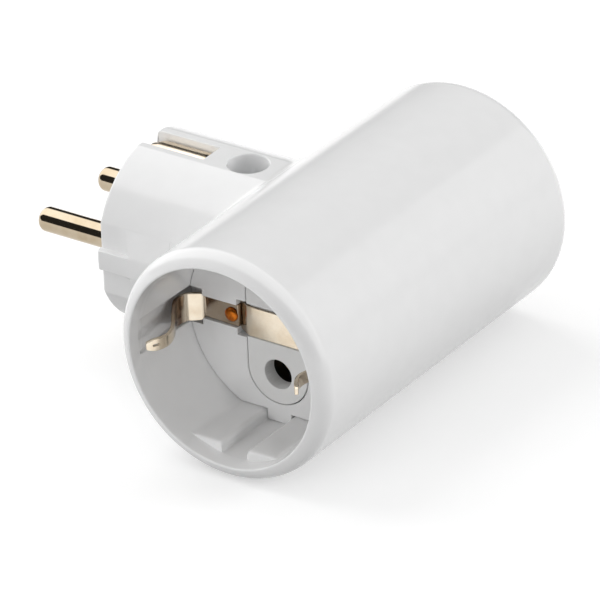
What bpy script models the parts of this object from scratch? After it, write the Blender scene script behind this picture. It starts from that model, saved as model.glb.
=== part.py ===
"""Double socket adapter: a T-shaped mains adapter with an earthed plug and a socket in each end of its tube.

The tube lies along Y, the plug points along -X and +Z is up. The origin is the centre of the plug's face, so
the two pins run from there along -X. Inside this file the pieces are drawn about the tube's own centre, where
the plug's axis crosses the tube's axis, and an empty carries them to their place.
"""

import math

import bmesh
import bpy
from mathutils import Matrix, Vector

# Clearances
GAP = 0.0003                   # between moulded pieces that seat on each other
FINE_GAP = 0.0002              # between stacked metal strips
OVERRUN = 0.0010               # how far a cutter runs past the face that it cuts

# Tube and its lips
TUBE_LENGTH = 0.0826           # between the planes that the two lips' rounding touches
TUBE_RADIUS = 0.0226
LIP_ROUNDING = 0.0036
LIP_EDGE_ROUNDING = 0.0003
LIP_WIDTH = 0.00295            # from the tube's skin to the mouth
RECESS_DEPTH = 0.0182          # from the lip's plane to the socket's floor
RECESS_DRAFT = 0.00035         # how much narrower the recess is at its floor
FLOOR_SEAT = 0.0007            # width of the step that the floor disc rests on

# Key pads at the top and bottom of a recess, and the groove between them
PAD_HEIGHT = 0.00230           # from the mouth's edge to a pad's flat
PAD_SETBACK = 0.0037           # from the lip's plane to a pad's front face
GROOVE_WIDTH = 0.0055
GROOVE_LEDGE = 0.0001          # from the mouth's edge to the groove's bottom

# Side channels that the earth clips spring in
CHANNEL_WIDTH = 0.0070
CHANNEL_SETBACK = 0.0028
CHANNEL_WALL = 0.0013          # left between a channel's bottom and the outside

# Plug neck
NECK_LENGTH = 0.0209           # from the tube's skin to the plug's face
NECK_RADIUS = 0.0182
NECK_FLAT_OFFSET = 0.0177      # from the plug's axis to the top and bottom flats
NECK_EDGE_ROUNDING = 0.0006
NECK_LAND_HEIGHT = 0.00025     # raised land round the root of the neck
NECK_LAND_WIDTH = 0.0172
NECK_LAND_LENGTH = 0.0049      # from the tube's skin to the land's edge
SIDE_FLAT_OFFSET = 0.0168      # from the plug's axis to the flats that the key rib stands on
SIDE_FLAT_LENGTH = 0.0058
SIDE_FLAT_RAMP = 0.0015        # length over which a side flat runs out
RIB_WIDTH = 0.0040
NECK_BORE_CLEARANCE = 0.0010   # between a pin's collar and the bore
INSERT_SEAT_STEP = 0.0010      # how much wider the seat at the face is than the bore
INSERT_SEAT_DEPTH = 0.0030

# Screw wells in the flats
WELL_INSET = 0.0013            # from the tube's skin inwards to a well's axis
WELL_RADIUS = 0.0040
WELL_FLOOR_OFFSET = 0.0087     # from the plug's axis to a well's floor
BOSS_RADIUS = 0.0052
BOSS_END_OFFSET = 0.0065       # from the plug's axis to a boss's inner end
SCREW_RADIUS = 0.0013
SCREW_HEAD_RADIUS = 0.0033
SCREW_HEAD_HEIGHT = 0.0022
SCREW_SLOT_WIDTH = 0.0008
SCREW_SLOT_DEPTH = 0.0009
SCREW_TIP_OFFSET = 0.0014      # from the plug's axis to a screw's tip
SCREW_TIP_CHAMFER = 0.0004

# Plug pins and the insert that carries them
PIN_SPACING = 0.0190
PIN_RADIUS = 0.0024
PIN_LENGTH = 0.0190            # outside the plug's face
PIN_TIP_LENGTH = 0.0018
PIN_COLLAR_RADIUS = 0.0030
PIN_COLLAR_START = 0.0043      # from the plug's face
PIN_COLLAR_LENGTH = 0.0015
PIN_STUB_RADIUS = 0.0012
PIN_HEAD_RADIUS = 0.0019
PIN_HEAD_LENGTH = 0.0007
INSERT_CLEARANCE = 0.0020      # from the insert's rear face to the bosses
INSERT_EDGE_ROUNDING = 0.0004
TONGUE_WIDTH = 0.0110
TONGUE_HEIGHT = 0.0124
TONGUE_OVERHANG = 0.0048       # from a well's axis to the tongue's end

# Earth bow of the plug: one strip that shows in both flats
BOW_WIDTH = 0.0047
BOW_THICKNESS = 0.0008
BOW_SETBACK = 0.0009           # the contact's face lies this far below the flat
BOW_NOSE_SETBACK = 0.0006      # from the plug's face to the bow's nose
BOW_NOSE_LENGTH = 0.0016
BOW_NOSE_DROP = 0.0005
BOW_BEND = 0.0012
EARTH_RECESS_SETBACK = 0.0009  # from the recess's end to the insert's rear face
EARTH_RECESS_DEPTH = 0.00245

# Socket floor and the stadium-shaped carrier that shows through it
FLOOR_THICKNESS = 0.0030
CARRIER_HALF_WIDTH = 0.00645
CARRIER_MARGIN = 0.00315       # from the carrier's round ends to the core's wall
FLANGE_RIM = 0.00115           # how far the carrier's flange reaches past its sides
FLANGE_THICKNESS = 0.0015
PIN_HOLE_RADIUS = 0.0029
PIN_HOLE_DEPTH = 0.0030
NOTCH_LEDGE = 0.0003           # left between the strap's notch and a rivet's hole
NOTCH_WIDTH = 0.0073

# Spring sleeves that grip a plug's pins
SLEEVE_BORE = 0.0025
SLEEVE_WALL = 0.00055
SLEEVE_BACK = 0.0006
SLEEVE_SETBACK = 0.0030        # from the pin hole's inner end to the sleeve
SLEEVE_SLOT_WIDTH = 0.0007
SLEEVE_SOLID_LENGTH = 0.0030   # unslotted length at the rear

# Live and neutral bars
BAR_WIDTH = 0.0052
BAR_THICKNESS = 0.0008
BAR_BEND = 0.0010
BAR_RISE = 0.0050              # from the bar's long run to its run between the sleeves
BAR_RISER_OFFSET = 0.0079      # from the tube's axis to the bar's riser
BAR_TAIL_WIDTH = 0.0050
BAR_TAIL_DROP = 0.0023         # how far the tail reaches past the pin's axis
BAR_TAPER = 0.0010

# Earth parts of a socket
STRIP_THICKNESS = 0.0005
STRAP_WIDTH = 0.0060
STRAP_PROUD = 0.0002           # the strap's face stands this far above the floor
STRAP_STEP_OFFSET = 0.0063     # from the tube's axis to the start of the strap's step
STRAP_STEP_LENGTH = 0.0012
STRAP_BEND = 0.0010
TAB_OVERHANG = 0.0021          # from the rivet's axis to the tab's end
SHOULDER_OFFSET = 0.0059       # from the tube's axis to the carrier's shoulder under the step
FOOT_WIDTH = 0.0041
FOOT_OVERHANG = 0.0011         # from the rivet's axis to the foot's end
RIVET_OFFSET = 0.0100          # from the tube's axis
RIVET_RADIUS = 0.0008
RIVET_HEAD_RADIUS = 0.0014
RIVET_HEAD_HEIGHT = 0.0006

# Earth clips
CLIP_WIDTH = 0.0054
CLIP_BEND_REACH = 0.0032       # from the start of the foot's bend to the root
CLIP_WALL_CLEARANCE = 0.00135  # between a clip's root and the bottom of its channel
CLIP_SWING = 0.0047            # from the root inwards to the crest, which touches a plug
CLIP_TIP_SETBACK = 0.00115     # from the lip's plane to the tip
CLIP_SHARES = (                # along the strip: shares of the swing, the height and the width
    (0.00, 0.17, 1.00),
    (0.32, 0.39, 0.83),
    (0.87, 0.62, 0.60),
    (1.00, 0.80, 0.53),
    (0.81, 0.94, 0.43),
    (0.66, 1.00, 0.20),
)

# Earth link between the two sockets and the plug's bow
LINK_THICKNESS = 0.0008
LINK_CLEARANCE = 0.0011        # between the link and the bars' long runs
LINK_STEM_WIDTH = 0.0062
LINK_BAR_WIDTH = 0.0040
LINK_LUG_HEIGHT = 0.0022       # above the rivet's axis
LINK_BEND = 0.0009

# Facets
TUBE_FACETS = 80
NECK_FACETS = 48
LIP_STEPS = 5
EDGE_STEPS = 2
SMALL_FACETS = 20
TINY_FACETS = 12
BEND_STEPS = 3
CURVE_STEPS = 4
SHARP_ANGLE = math.radians(35)
FULL_TURN = math.tau
QUARTER_TURN = math.pi / 2

# Places along the tube, for the socket on the -Y side
TUBE_END = TUBE_LENGTH / 2
MOUTH_RADIUS = TUBE_RADIUS - LIP_WIDTH
PAD_OFFSET = MOUTH_RADIUS - PAD_HEIGHT
GROOVE_OFFSET = MOUTH_RADIUS - GROOVE_LEDGE
FLOOR_FRONT = TUBE_END - RECESS_DEPTH
FLOOR_REAR = FLOOR_FRONT - FLOOR_THICKNESS
SEAT = FLOOR_REAR - GAP
FLOOR_RADIUS = MOUTH_RADIUS - RECESS_DRAFT
CORE_RADIUS = FLOOR_RADIUS - FLOOR_SEAT
CARRIER_END_OFFSET = CORE_RADIUS - CARRIER_MARGIN - CARRIER_HALF_WIDTH
BAR_HALF = BAR_WIDTH / 2
SLEEVE_REAR = BAR_HALF + FINE_GAP
SLEEVE_RADIUS = SLEEVE_BORE + SLEEVE_WALL
PIN_HOLE_END = FLOOR_FRONT - PIN_HOLE_DEPTH
SLEEVE_FRONT = PIN_HOLE_END - SLEEVE_SETBACK
CARRIER_REAR = SLEEVE_REAR + GAP
CHANNEL_FLOOR = TUBE_RADIUS - CHANNEL_WALL
CLIP_ROOT = CHANNEL_FLOOR - CLIP_WALL_CLEARANCE - STRIP_THICKNESS / 2
CLIP_BEND_START = CLIP_ROOT - CLIP_BEND_REACH
POCKET_START = CLIP_BEND_START - GAP
NOTCH_REACH = RIVET_OFFSET - RIVET_RADIUS - FINE_GAP - NOTCH_LEDGE

# The stack of strips in the floor's foot channel, from the floor's web outwards
STRAP_FRONT = FLOOR_FRONT + STRAP_PROUD
STRAP_LEVEL = STRAP_FRONT - STRIP_THICKNESS / 2
STRAP_BED = STRAP_FRONT - STRIP_THICKNESS - FINE_GAP
FOOT_LEVEL = STRAP_BED - STRIP_THICKNESS / 2
TAB_LEVEL = FOOT_LEVEL - STRIP_THICKNESS - FINE_GAP
FOOT_BED = TAB_LEVEL - STRIP_THICKNESS / 2 - FINE_GAP
LUG_LEVEL = FLOOR_REAR - FINE_GAP - LINK_THICKNESS / 2
CLIP_HEIGHT = TUBE_END - CLIP_TIP_SETBACK - FOOT_LEVEL

# Places about the plug's axis, measured from the tube's axis
PIN_OFFSET = PIN_SPACING / 2
NECK_BORE_RADIUS = PIN_OFFSET + PIN_COLLAR_RADIUS + NECK_BORE_CLEARANCE
INSERT_SEAT_RADIUS = NECK_BORE_RADIUS + INSERT_SEAT_STEP
PLUG_REACH = TUBE_RADIUS + NECK_LENGTH
FACE = -PLUG_REACH
WELL_AXIS = WELL_INSET - TUBE_RADIUS
TONGUE_END = WELL_AXIS + TONGUE_OVERHANG
INSERT_REAR = WELL_AXIS - BOSS_RADIUS - INSERT_CLEARANCE
INSERT_FLANGE_RADIUS = INSERT_SEAT_RADIUS - GAP
INSERT_BODY_RADIUS = NECK_BORE_RADIUS - GAP
EARTH_RECESS_END = INSERT_REAR - EARTH_RECESS_SETBACK
BOW_WEB = EARTH_RECESS_END - GAP - BOW_THICKNESS / 2
BOW_LEVEL = NECK_FLAT_OFFSET - BOW_SETBACK - BOW_THICKNESS / 2
TAIL_LEVEL = INSERT_REAR + GAP + BAR_THICKNESS / 2
BAR_LEVEL = PIN_OFFSET - BAR_RISE
LINK_LEVEL = BAR_LEVEL - BAR_THICKNESS / 2 - LINK_CLEARANCE - LINK_THICKNESS / 2


def clear_scene():
    """Remove every object that is already in the file."""
    for obj in list(bpy.data.objects):
        bpy.data.objects.remove(obj, do_unlink=True)


def make_collection(name):
    collection = bpy.data.collections.new(name)
    bpy.context.scene.collection.children.link(collection)
    return collection


def make_material(name, colour, roughness, metallic):
    """A Principled BSDF with the piece's colour, roughness and metallic value."""
    material = bpy.data.materials.new(name)
    material.use_nodes = True
    shader = material.node_tree.nodes["Principled BSDF"]
    shader.inputs["Base Color"].default_value = (*colour, 1.0)
    shader.inputs["Roughness"].default_value = roughness
    shader.inputs["Metallic"].default_value = metallic
    material.diffuse_color = (*colour, 1.0)
    return material


class Workshop:
    """Keeps the collections, the carrying empty and the materials that every piece uses."""

    def __init__(self):
        self.parts = make_collection("double_socket_adapter")
        self.cutters = make_collection("cutters")
        self.centre = bpy.data.objects.new("tube_centre", None)
        self.centre.location = (PLUG_REACH, 0, 0)
        self.parts.objects.link(self.centre)
        self.white = make_material("white_plastic", (0.86, 0.86, 0.85), 0.22, 0.0)
        self.grey = make_material("pale_grey_plastic", (0.74, 0.74, 0.73), 0.35, 0.0)
        self.brass = make_material("brass", (0.80, 0.62, 0.32), 0.30, 1.0)
        self.nickel = make_material("nickelled_brass", (0.86, 0.80, 0.68), 0.18, 1.0)
        self.copper = make_material("copper", (0.78, 0.42, 0.22), 0.32, 1.0)
        self.steel = make_material("zinc_plated_steel", (0.72, 0.72, 0.72), 0.30, 1.0)

    def part(self, name, obj, material):
        """Turn a working solid into a named piece of the adapter."""
        obj.name = name
        obj.data.name = name
        obj.data.materials.clear()
        obj.data.materials.append(material)
        obj.data.shade_smooth()
        obj.data.set_sharp_from_angle(angle=SHARP_ANGLE)
        obj.parent = self.centre
        self.parts.objects.link(obj)
        return obj

    def combine(self, target, tool, operation):
        """Apply one exact Boolean of a tool to a working solid, and clear the tool away."""
        tool.hide_render = True
        tool.display_type = "WIRE"
        self.cutters.objects.link(tool)
        modifier = target.modifiers.new(operation.lower(), "BOOLEAN")
        modifier.operation = operation
        modifier.solver = "EXACT"
        modifier.object = tool
        bake(target)
        bpy.data.objects.remove(tool, do_unlink=True)
        return target

    def cut(self, target, *tools):
        for tool in tools:
            self.combine(target, tool, "DIFFERENCE")
        return target

    def join(self, target, *tools):
        for tool in tools:
            self.combine(target, tool, "UNION")
        return target


def evaluated_mesh(obj):
    """A copy of an object's mesh with its modifiers or its curve settings applied."""
    bpy.context.scene.collection.objects.link(obj)
    bpy.context.view_layer.update()
    graph = bpy.context.evaluated_depsgraph_get()
    mesh = bpy.data.meshes.new_from_object(obj.evaluated_get(graph))
    bpy.context.scene.collection.objects.unlink(obj)
    return mesh


def bake(obj):
    """Replace an object's mesh by its evaluated one, with its faces pointing out."""
    mesh = evaluated_mesh(obj)
    shell = bmesh.new()
    shell.from_mesh(mesh)
    bmesh.ops.recalc_face_normals(shell, faces=shell.faces)
    shell.to_mesh(mesh)
    shell.free()
    obj.modifiers.clear()
    obj.data = mesh
    return obj


def solid_from(shell):
    """A working object round a bmesh, with its faces pointing out."""
    bmesh.ops.recalc_face_normals(shell, faces=shell.faces)
    mesh = bpy.data.meshes.new("solid")
    shell.to_mesh(mesh)
    shell.free()
    return bpy.data.objects.new("solid", mesh)


def box(low, high):
    """A block between two corners."""
    low = Vector(low)
    high = Vector(high)
    shell = bmesh.new()
    bmesh.ops.create_cube(shell, size=1)
    bmesh.ops.scale(shell, vec=high - low, verts=shell.verts)
    bmesh.ops.translate(shell, vec=(low + high) / 2, verts=shell.verts)
    return solid_from(shell)


def along(axis):
    """The turn that lays the Z axis along X or Y."""
    turns = {
        "X": Matrix.Rotation(QUARTER_TURN, 4, "Y"),
        "Y": Matrix.Rotation(-QUARTER_TURN, 4, "X"),
        "Z": Matrix.Identity(4),
    }
    return turns[axis]


def cylinder(radius, start, end, axis, centre, facets):
    """A round bar from start to end along an axis, through a centre point."""
    shell = bmesh.new()
    bmesh.ops.create_cone(
        shell, cap_ends=True, segments=facets, radius1=radius, radius2=radius, depth=end - start
    )
    bmesh.ops.translate(shell, vec=(0, 0, (start + end) / 2), verts=shell.verts)
    bmesh.ops.transform(shell, matrix=Matrix.Translation(centre) @ along(axis), verts=shell.verts)
    return solid_from(shell)


def turned(profile, axis, centre, facets):
    """A profile of (radius, height) points turned round an axis by a Screw modifier."""
    count = len(profile)
    closed = all(radius > 0 for radius, height in profile)
    edges = [(i, i + 1) for i in range(count - 1)]
    if closed:
        edges.append((count - 1, 0))
    mesh = bpy.data.meshes.new("profile")
    mesh.from_pydata([(radius, 0, height) for radius, height in profile], edges, [])
    obj = bpy.data.objects.new("profile", mesh)
    screw = obj.modifiers.new("screw", "SCREW")
    screw.axis = "Z"
    screw.angle = FULL_TURN
    screw.steps = facets
    screw.render_steps = facets
    screw.use_merge_vertices = True
    screw.merge_threshold = FINE_GAP / 100
    bake(obj)
    obj.data.transform(Matrix.Translation(centre) @ along(axis))
    return obj


def arc(centre_r, centre_h, radius, start, end, steps):
    """Points of a round corner, from one angle to another."""
    angles = [start + (end - start) * i / steps for i in range(steps + 1)]
    return [(centre_r + radius * math.cos(a), centre_h + radius * math.sin(a)) for a in angles]


def extruded(outline, low, high, axis):
    """A flat outline pulled from low to high along Y or Z, from a filled 2D curve."""
    curve = bpy.data.curves.new("outline", "CURVE")
    curve.dimensions = "2D"
    curve.fill_mode = "BOTH"
    curve.extrude = (high - low) / 2
    spline = curve.splines.new("POLY")
    spline.points.add(len(outline) - 1)
    for point, (u, v) in zip(spline.points, outline):
        point.co = (u, v, 0, 1)
    spline.use_cyclic_u = True
    obj = bpy.data.objects.new("outline", curve)
    mesh = evaluated_mesh(obj)
    bpy.data.objects.remove(obj, do_unlink=True)
    shell = bmesh.new()
    shell.from_mesh(mesh)
    bmesh.ops.remove_doubles(shell, verts=shell.verts, dist=FINE_GAP / 100)
    bmesh.ops.translate(shell, vec=(0, 0, (low + high) / 2), verts=shell.verts)
    if axis == "Y":
        swap = Matrix(((1, 0, 0, 0), (0, 0, 1, 0), (0, 1, 0, 0), (0, 0, 0, 1)))
        bmesh.ops.transform(shell, matrix=swap, verts=shell.verts)
    return solid_from(shell)


def stadium(half_width, end_offset, low, high):
    """A bar along Y whose section is a rectangle with round ends up and down."""
    upper = arc(0, end_offset, half_width, 0, math.pi, SMALL_FACETS // 2)
    lower = arc(0, -end_offset, half_width, math.pi, FULL_TURN, SMALL_FACETS // 2)
    return extruded(upper + lower, low, high, "Y")


def bent_rows(corners, radius):
    """Rows of a strip: its path with round bends, each with the strip's two edge places.

    A corner is (path point, low edge, high edge, round or not).
    """
    rows = []
    for i, (point, low, high, rounded) in enumerate(corners):
        point = Vector(point)
        if not rounded or i in (0, len(corners) - 1):
            rows.append((point, low, high))
            continue
        before = (Vector(corners[i - 1][0]) - point).normalized()
        after = (Vector(corners[i + 1][0]) - point).normalized()
        half = before.angle(after) / 2
        run = radius / math.tan(half)
        middle = point + (before + after).normalized() * radius / math.sin(half)
        start = point + before * run - middle
        end = point + after * run - middle
        for step in range(BEND_STEPS + 1):
            direction = start.normalized().slerp(end.normalized(), step / BEND_STEPS)
            rows.append((middle + direction * radius, low, high))
    return rows


def strip(rows, place, thickness):
    """A sheet metal strip: rows of a path with two edges, made solid by Solidify.

    place turns a path point and an edge place into a point in space.
    """
    vertices = []
    for point, low, high in rows:
        vertices.append(place(point, low))
        vertices.append(place(point, high))
    faces = [(2 * i, 2 * i + 1, 2 * i + 3, 2 * i + 2) for i in range(len(rows) - 1)]
    mesh = bpy.data.meshes.new("strip")
    mesh.from_pydata(vertices, [], faces)
    obj = bpy.data.objects.new("strip", mesh)
    solidify = obj.modifiers.new("solidify", "SOLIDIFY")
    solidify.thickness = thickness
    solidify.offset = 0
    solidify.use_even_offset = True
    return bake(obj)


def mirrored(shop, original, name, axis):
    """A mirror-image piece on the other side of the tube's centre."""
    mesh = original.data.copy()
    scale = Matrix.Scale(-1, 4, Vector((axis == "X", axis == "Y", axis == "Z")))
    mesh.transform(Matrix.Translation(original.location).inverted() @ scale @ original.matrix_basis)
    mesh.flip_normals()
    obj = bpy.data.objects.new(name, mesh)
    obj.location = original.location
    mesh.name = name
    obj.parent = shop.centre
    shop.parts.objects.link(obj)
    return obj


def both_signs(*axes):
    """Every combination of signs for the given number of axes."""
    if not axes:
        return [()]
    return [(sign, *rest) for sign in (-1, 1) for rest in both_signs(*axes[1:])]


def mirrored_box(near, far, signs):
    """A block given for the positive side of each axis, put on the side that the signs say."""
    first = [value * sign for value, sign in zip(near, signs)]
    second = [value * sign for value, sign in zip(far, signs)]
    low = [min(pair) for pair in zip(first, second)]
    high = [max(pair) for pair in zip(first, second)]
    return box(low, high)


def lip_centre():
    """Centre of the lip's rounding, as (radius, distance along the tube)."""
    return TUBE_RADIUS - LIP_ROUNDING, TUBE_END - LIP_ROUNDING


def tube_outside():
    """The tube as a solid bar with round lips."""
    lip_r, lip_h = lip_centre()
    upper = arc(lip_r, lip_h, LIP_ROUNDING, QUARTER_TURN, 0, LIP_STEPS)
    lower = [(radius, -height) for radius, height in reversed(upper)]
    profile = [(0, TUBE_END), *upper, *lower, (0, -TUBE_END)]
    return turned(profile, "Y", (0, 0, 0), TUBE_FACETS)


def recess_cutter():
    """The space through the tube: two recesses that narrow to their floors, and the core between."""
    lip_r, lip_h = lip_centre()
    edge_r = MOUTH_RADIUS + LIP_EDGE_ROUNDING
    reach = LIP_ROUNDING - LIP_EDGE_ROUNDING
    edge_h = lip_h + math.sqrt(reach**2 - (edge_r - lip_r) ** 2)
    meeting = math.atan2(edge_h - lip_h, edge_r - lip_r)
    clear = LIP_ROUNDING + OVERRUN
    flare = (lip_r + clear * math.cos(meeting), lip_h + clear * math.sin(meeting))
    edge = arc(edge_r, edge_h, LIP_EDGE_ROUNDING, meeting, math.pi, EDGE_STEPS)
    half = [
        (0, TUBE_END + OVERRUN),
        flare,
        *edge,
        (FLOOR_RADIUS, FLOOR_FRONT),
        (FLOOR_RADIUS, SEAT),
        (CORE_RADIUS, SEAT),
    ]
    other = [(radius, -height) for radius, height in reversed(half)]
    return turned([*half, *other], "Y", (0, 0, 0), TUBE_FACETS)


def pad_blocks():
    """Blocks that the recess leaves standing, two at the top and two at the bottom of each socket."""
    near = (GROOVE_WIDTH / 2, SEAT - OVERRUN, PAD_OFFSET)
    far = (PAD_OFFSET, TUBE_END - PAD_SETBACK, TUBE_RADIUS)
    return [mirrored_box(near, far, signs) for signs in both_signs("x", "y", "z")]


def groove_blocks():
    near = (-GROOVE_WIDTH / 2, SEAT, CORE_RADIUS / 2)
    far = (GROOVE_WIDTH / 2, TUBE_END - PAD_SETBACK, GROOVE_OFFSET)
    return [mirrored_box(near, far, (1, *signs)) for signs in both_signs("y", "z")]


def channel_blocks():
    near = (CORE_RADIUS / 2, SEAT, -CHANNEL_WIDTH / 2)
    far = (CHANNEL_FLOOR, TUBE_END - CHANNEL_SETBACK, CHANNEL_WIDTH / 2)
    return [mirrored_box(near, far, (*signs, 1)) for signs in both_signs("x", "y")]


def neck_outside(shop):
    """The plug's body: a round bar with top and bottom flats and a raised land at its root."""
    rounding = NECK_EDGE_ROUNDING
    edge = arc(NECK_RADIUS - rounding, FACE + rounding, rounding, -QUARTER_TURN, 0, EDGE_STEPS)
    profile = [(0, FACE), *edge, (NECK_RADIUS, 0), (0, 0)]
    neck = turned(profile, "X", (0, 0, 0), NECK_FACETS)
    flats = box(
        (FACE - OVERRUN, -TUBE_RADIUS, -NECK_FLAT_OFFSET), (OVERRUN, TUBE_RADIUS, NECK_FLAT_OFFSET)
    )
    shop.combine(neck, flats, "INTERSECT")
    land_radius = NECK_RADIUS + NECK_LAND_HEIGHT
    land = cylinder(land_radius, -TUBE_RADIUS - NECK_LAND_LENGTH, 0, "X", (0, 0, 0), NECK_FACETS)
    slab = box(
        (FACE, -TUBE_RADIUS, -NECK_LAND_WIDTH / 2), (OVERRUN, TUBE_RADIUS, NECK_LAND_WIDTH / 2)
    )
    shop.combine(land, slab, "INTERSECT")
    return shop.join(neck, land)


def neck_inside():
    """The neck's bore, with the wider seat of the insert's flange at the face."""
    seat = FACE + INSERT_SEAT_DEPTH
    profile = [
        (0, FACE - OVERRUN),
        (INSERT_SEAT_RADIUS, FACE - OVERRUN),
        (INSERT_SEAT_RADIUS, seat),
        (NECK_BORE_RADIUS, seat),
        (NECK_BORE_RADIUS, -CORE_RADIUS / 2),
        (0, -CORE_RADIUS / 2),
    ]
    return turned(profile, "X", (0, 0, 0), NECK_FACETS)


def side_flat_cutters():
    """Cutters for the flats above and below each key rib, with a ramp where a flat runs out."""
    flat_end = FACE + SIDE_FLAT_LENGTH
    outline = [
        (FACE - OVERRUN, SIDE_FLAT_OFFSET),
        (flat_end, SIDE_FLAT_OFFSET),
        (flat_end + SIDE_FLAT_RAMP, NECK_RADIUS),
        (flat_end + SIDE_FLAT_RAMP, NECK_RADIUS + OVERRUN),
        (FACE - OVERRUN, NECK_RADIUS + OVERRUN),
    ]
    cutters = []
    for side, level in both_signs("y", "z"):
        placed = [(x, y * side) for x, y in outline]
        low, high = sorted((level * RIB_WIDTH / 2, level * NECK_RADIUS))
        cutters.append(extruded(placed, low, high, "Z"))
    return cutters


def earth_recess_cutters():
    """Open grooves in the flats for the earth bow, and the slots that it dives through."""
    half = BOW_WIDTH / 2 + GAP
    floor = NECK_FLAT_OFFSET - EARTH_RECESS_DEPTH
    slot_start = BOW_WEB - BOW_THICKNESS / 2 - GAP
    cutters = []
    for level in (-1, 1):
        groove = ((FACE - OVERRUN, -half, floor), (EARTH_RECESS_END, half, NECK_FLAT_OFFSET + OVERRUN))
        slot = ((slot_start, -half, NECK_BORE_RADIUS / 2), (EARTH_RECESS_END, half, NECK_FLAT_OFFSET))
        cutters.append(mirrored_box(*groove, (1, 1, level)))
        cutters.append(mirrored_box(*slot, (1, 1, level)))
    return cutters


def well_parts(radius, start, end, facets):
    """Upright bars at the wells' axis, above and below the plug's axis."""
    low_bar = cylinder(radius, -end, -start, "Z", (WELL_AXIS, 0, 0), facets)
    high_bar = cylinder(radius, start, end, "Z", (WELL_AXIS, 0, 0), facets)
    return [low_bar, high_bar]


def build_casing(shop):
    """The T-shaped casing: tube, lips, recess walls with pads and channels, and the plug's neck."""
    recess = recess_cutter()
    shop.cut(recess, *pad_blocks())
    casing = shop.join(tube_outside(), neck_outside(shop))
    shop.cut(casing, recess, *groove_blocks(), *channel_blocks(), neck_inside())
    boss_root = (NECK_BORE_RADIUS + NECK_FLAT_OFFSET) / 2
    shop.join(casing, *well_parts(BOSS_RADIUS, BOSS_END_OFFSET, boss_root, SMALL_FACETS))
    shop.cut(casing, *well_parts(WELL_RADIUS, WELL_FLOOR_OFFSET, NECK_RADIUS + OVERRUN, NECK_FACETS // 2))
    shop.cut(casing, *well_parts(SCREW_RADIUS + GAP, 0, NECK_RADIUS, TINY_FACETS))
    shop.cut(casing, *side_flat_cutters(), *earth_recess_cutters())
    return shop.part("casing", casing, shop.white)


def floor_disc(shop):
    """The socket's floor: a disc keyed to the pads, with the carrier's window and the strips' channels."""
    disc = cylinder(FLOOR_RADIUS - GAP, -FLOOR_FRONT, -FLOOR_REAR, "Y", (0, 0, 0), TUBE_FACETS)
    pad = PAD_OFFSET - GAP
    for level in (-1, 1):
        near = (-TUBE_RADIUS, -FLOOR_FRONT - OVERRUN, pad)
        far = (TUBE_RADIUS, -FLOOR_REAR + OVERRUN, TUBE_RADIUS)
        shop.cut(disc, mirrored_box(near, far, (1, 1, level)))
    key = GROOVE_WIDTH / 2 - GAP
    key_reach = GROOVE_OFFSET - GAP
    shop.join(disc, box((-key, -FLOOR_FRONT, -key_reach), (key, -FLOOR_REAR, key_reach)))
    through = (-FLOOR_FRONT - OVERRUN, -FLOOR_REAR + OVERRUN)
    shop.cut(disc, stadium(CARRIER_HALF_WIDTH + GAP, CARRIER_END_OFFSET, *through))
    notch = NOTCH_WIDTH / 2
    shop.cut(disc, box((-NOTCH_REACH, through[0], -notch), (NOTCH_REACH, through[1], notch)))
    foot = FOOT_WIDTH / 2 + GAP
    for side in (-1, 1):
        channel = ((NOTCH_REACH / 2, through[0], -foot), (TUBE_RADIUS, -FOOT_BED, foot))
        pocket = ((POCKET_START, through[0], -notch), (TUBE_RADIUS, -FOOT_BED, notch))
        hole = (side * RIVET_OFFSET, 0, 0)
        shop.cut(disc, mirrored_box(*channel, (side, 1, 1)), mirrored_box(*pocket, (side, 1, 1)))
        shop.cut(disc, cylinder(RIVET_RADIUS + FINE_GAP, *through, "Y", hole, TINY_FACETS))
    return disc


def contact_carrier(shop):
    """The stadium-shaped block that shows in the floor, with its pin holes and sleeve chambers."""
    carrier = stadium(CARRIER_HALF_WIDTH, CARRIER_END_OFFSET, -FLOOR_FRONT, -CARRIER_REAR)
    flange_front = -FLOOR_REAR + GAP
    flange = stadium(
        CARRIER_HALF_WIDTH + FLANGE_RIM, CARRIER_END_OFFSET, flange_front, flange_front + FLANGE_THICKNESS
    )
    shop.join(carrier, flange)
    bed = STRAP_WIDTH / 2 + GAP
    reach = CARRIER_HALF_WIDTH + OVERRUN
    shop.cut(carrier, box((-reach, -FLOOR_FRONT - OVERRUN, -bed), (reach, -STRAP_BED, bed)))
    for side in (-1, 1):
        shoulder = ((SHOULDER_OFFSET, -FLOOR_FRONT - OVERRUN, -bed), (reach, -FOOT_BED, bed))
        shop.cut(carrier, mirrored_box(*shoulder, (side, 1, 1)))
    for level in (-1, 1):
        centre = (0, 0, level * PIN_OFFSET)
        hole = cylinder(
            PIN_HOLE_RADIUS, -FLOOR_FRONT - OVERRUN, -PIN_HOLE_END + GAP, "Y", centre, SMALL_FACETS
        )
        chamber = cylinder(
            SLEEVE_RADIUS + GAP, -PIN_HOLE_END, -CARRIER_REAR + OVERRUN, "Y", centre, SMALL_FACETS
        )
        shop.cut(carrier, hole, chamber)
    return carrier


def contact_sleeve(shop):
    """A slotted spring sleeve with a closed back, drawn about its own axis."""
    profile = [
        (0, -SLEEVE_REAR),
        (SLEEVE_RADIUS, -SLEEVE_REAR),
        (SLEEVE_RADIUS, -SLEEVE_FRONT),
        (SLEEVE_BORE, -SLEEVE_FRONT),
        (SLEEVE_BORE, -SLEEVE_REAR - SLEEVE_BACK),
        (0, -SLEEVE_REAR - SLEEVE_BACK),
    ]
    sleeve = turned(profile, "Y", (0, 0, 0), SMALL_FACETS)
    reach = SLEEVE_RADIUS + OVERRUN
    slot_end = -SLEEVE_REAR - SLEEVE_SOLID_LENGTH
    half = SLEEVE_SLOT_WIDTH / 2
    return shop.cut(sleeve, box((-reach, -SLEEVE_FRONT - OVERRUN, -half), (reach, slot_end, half)))


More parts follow.
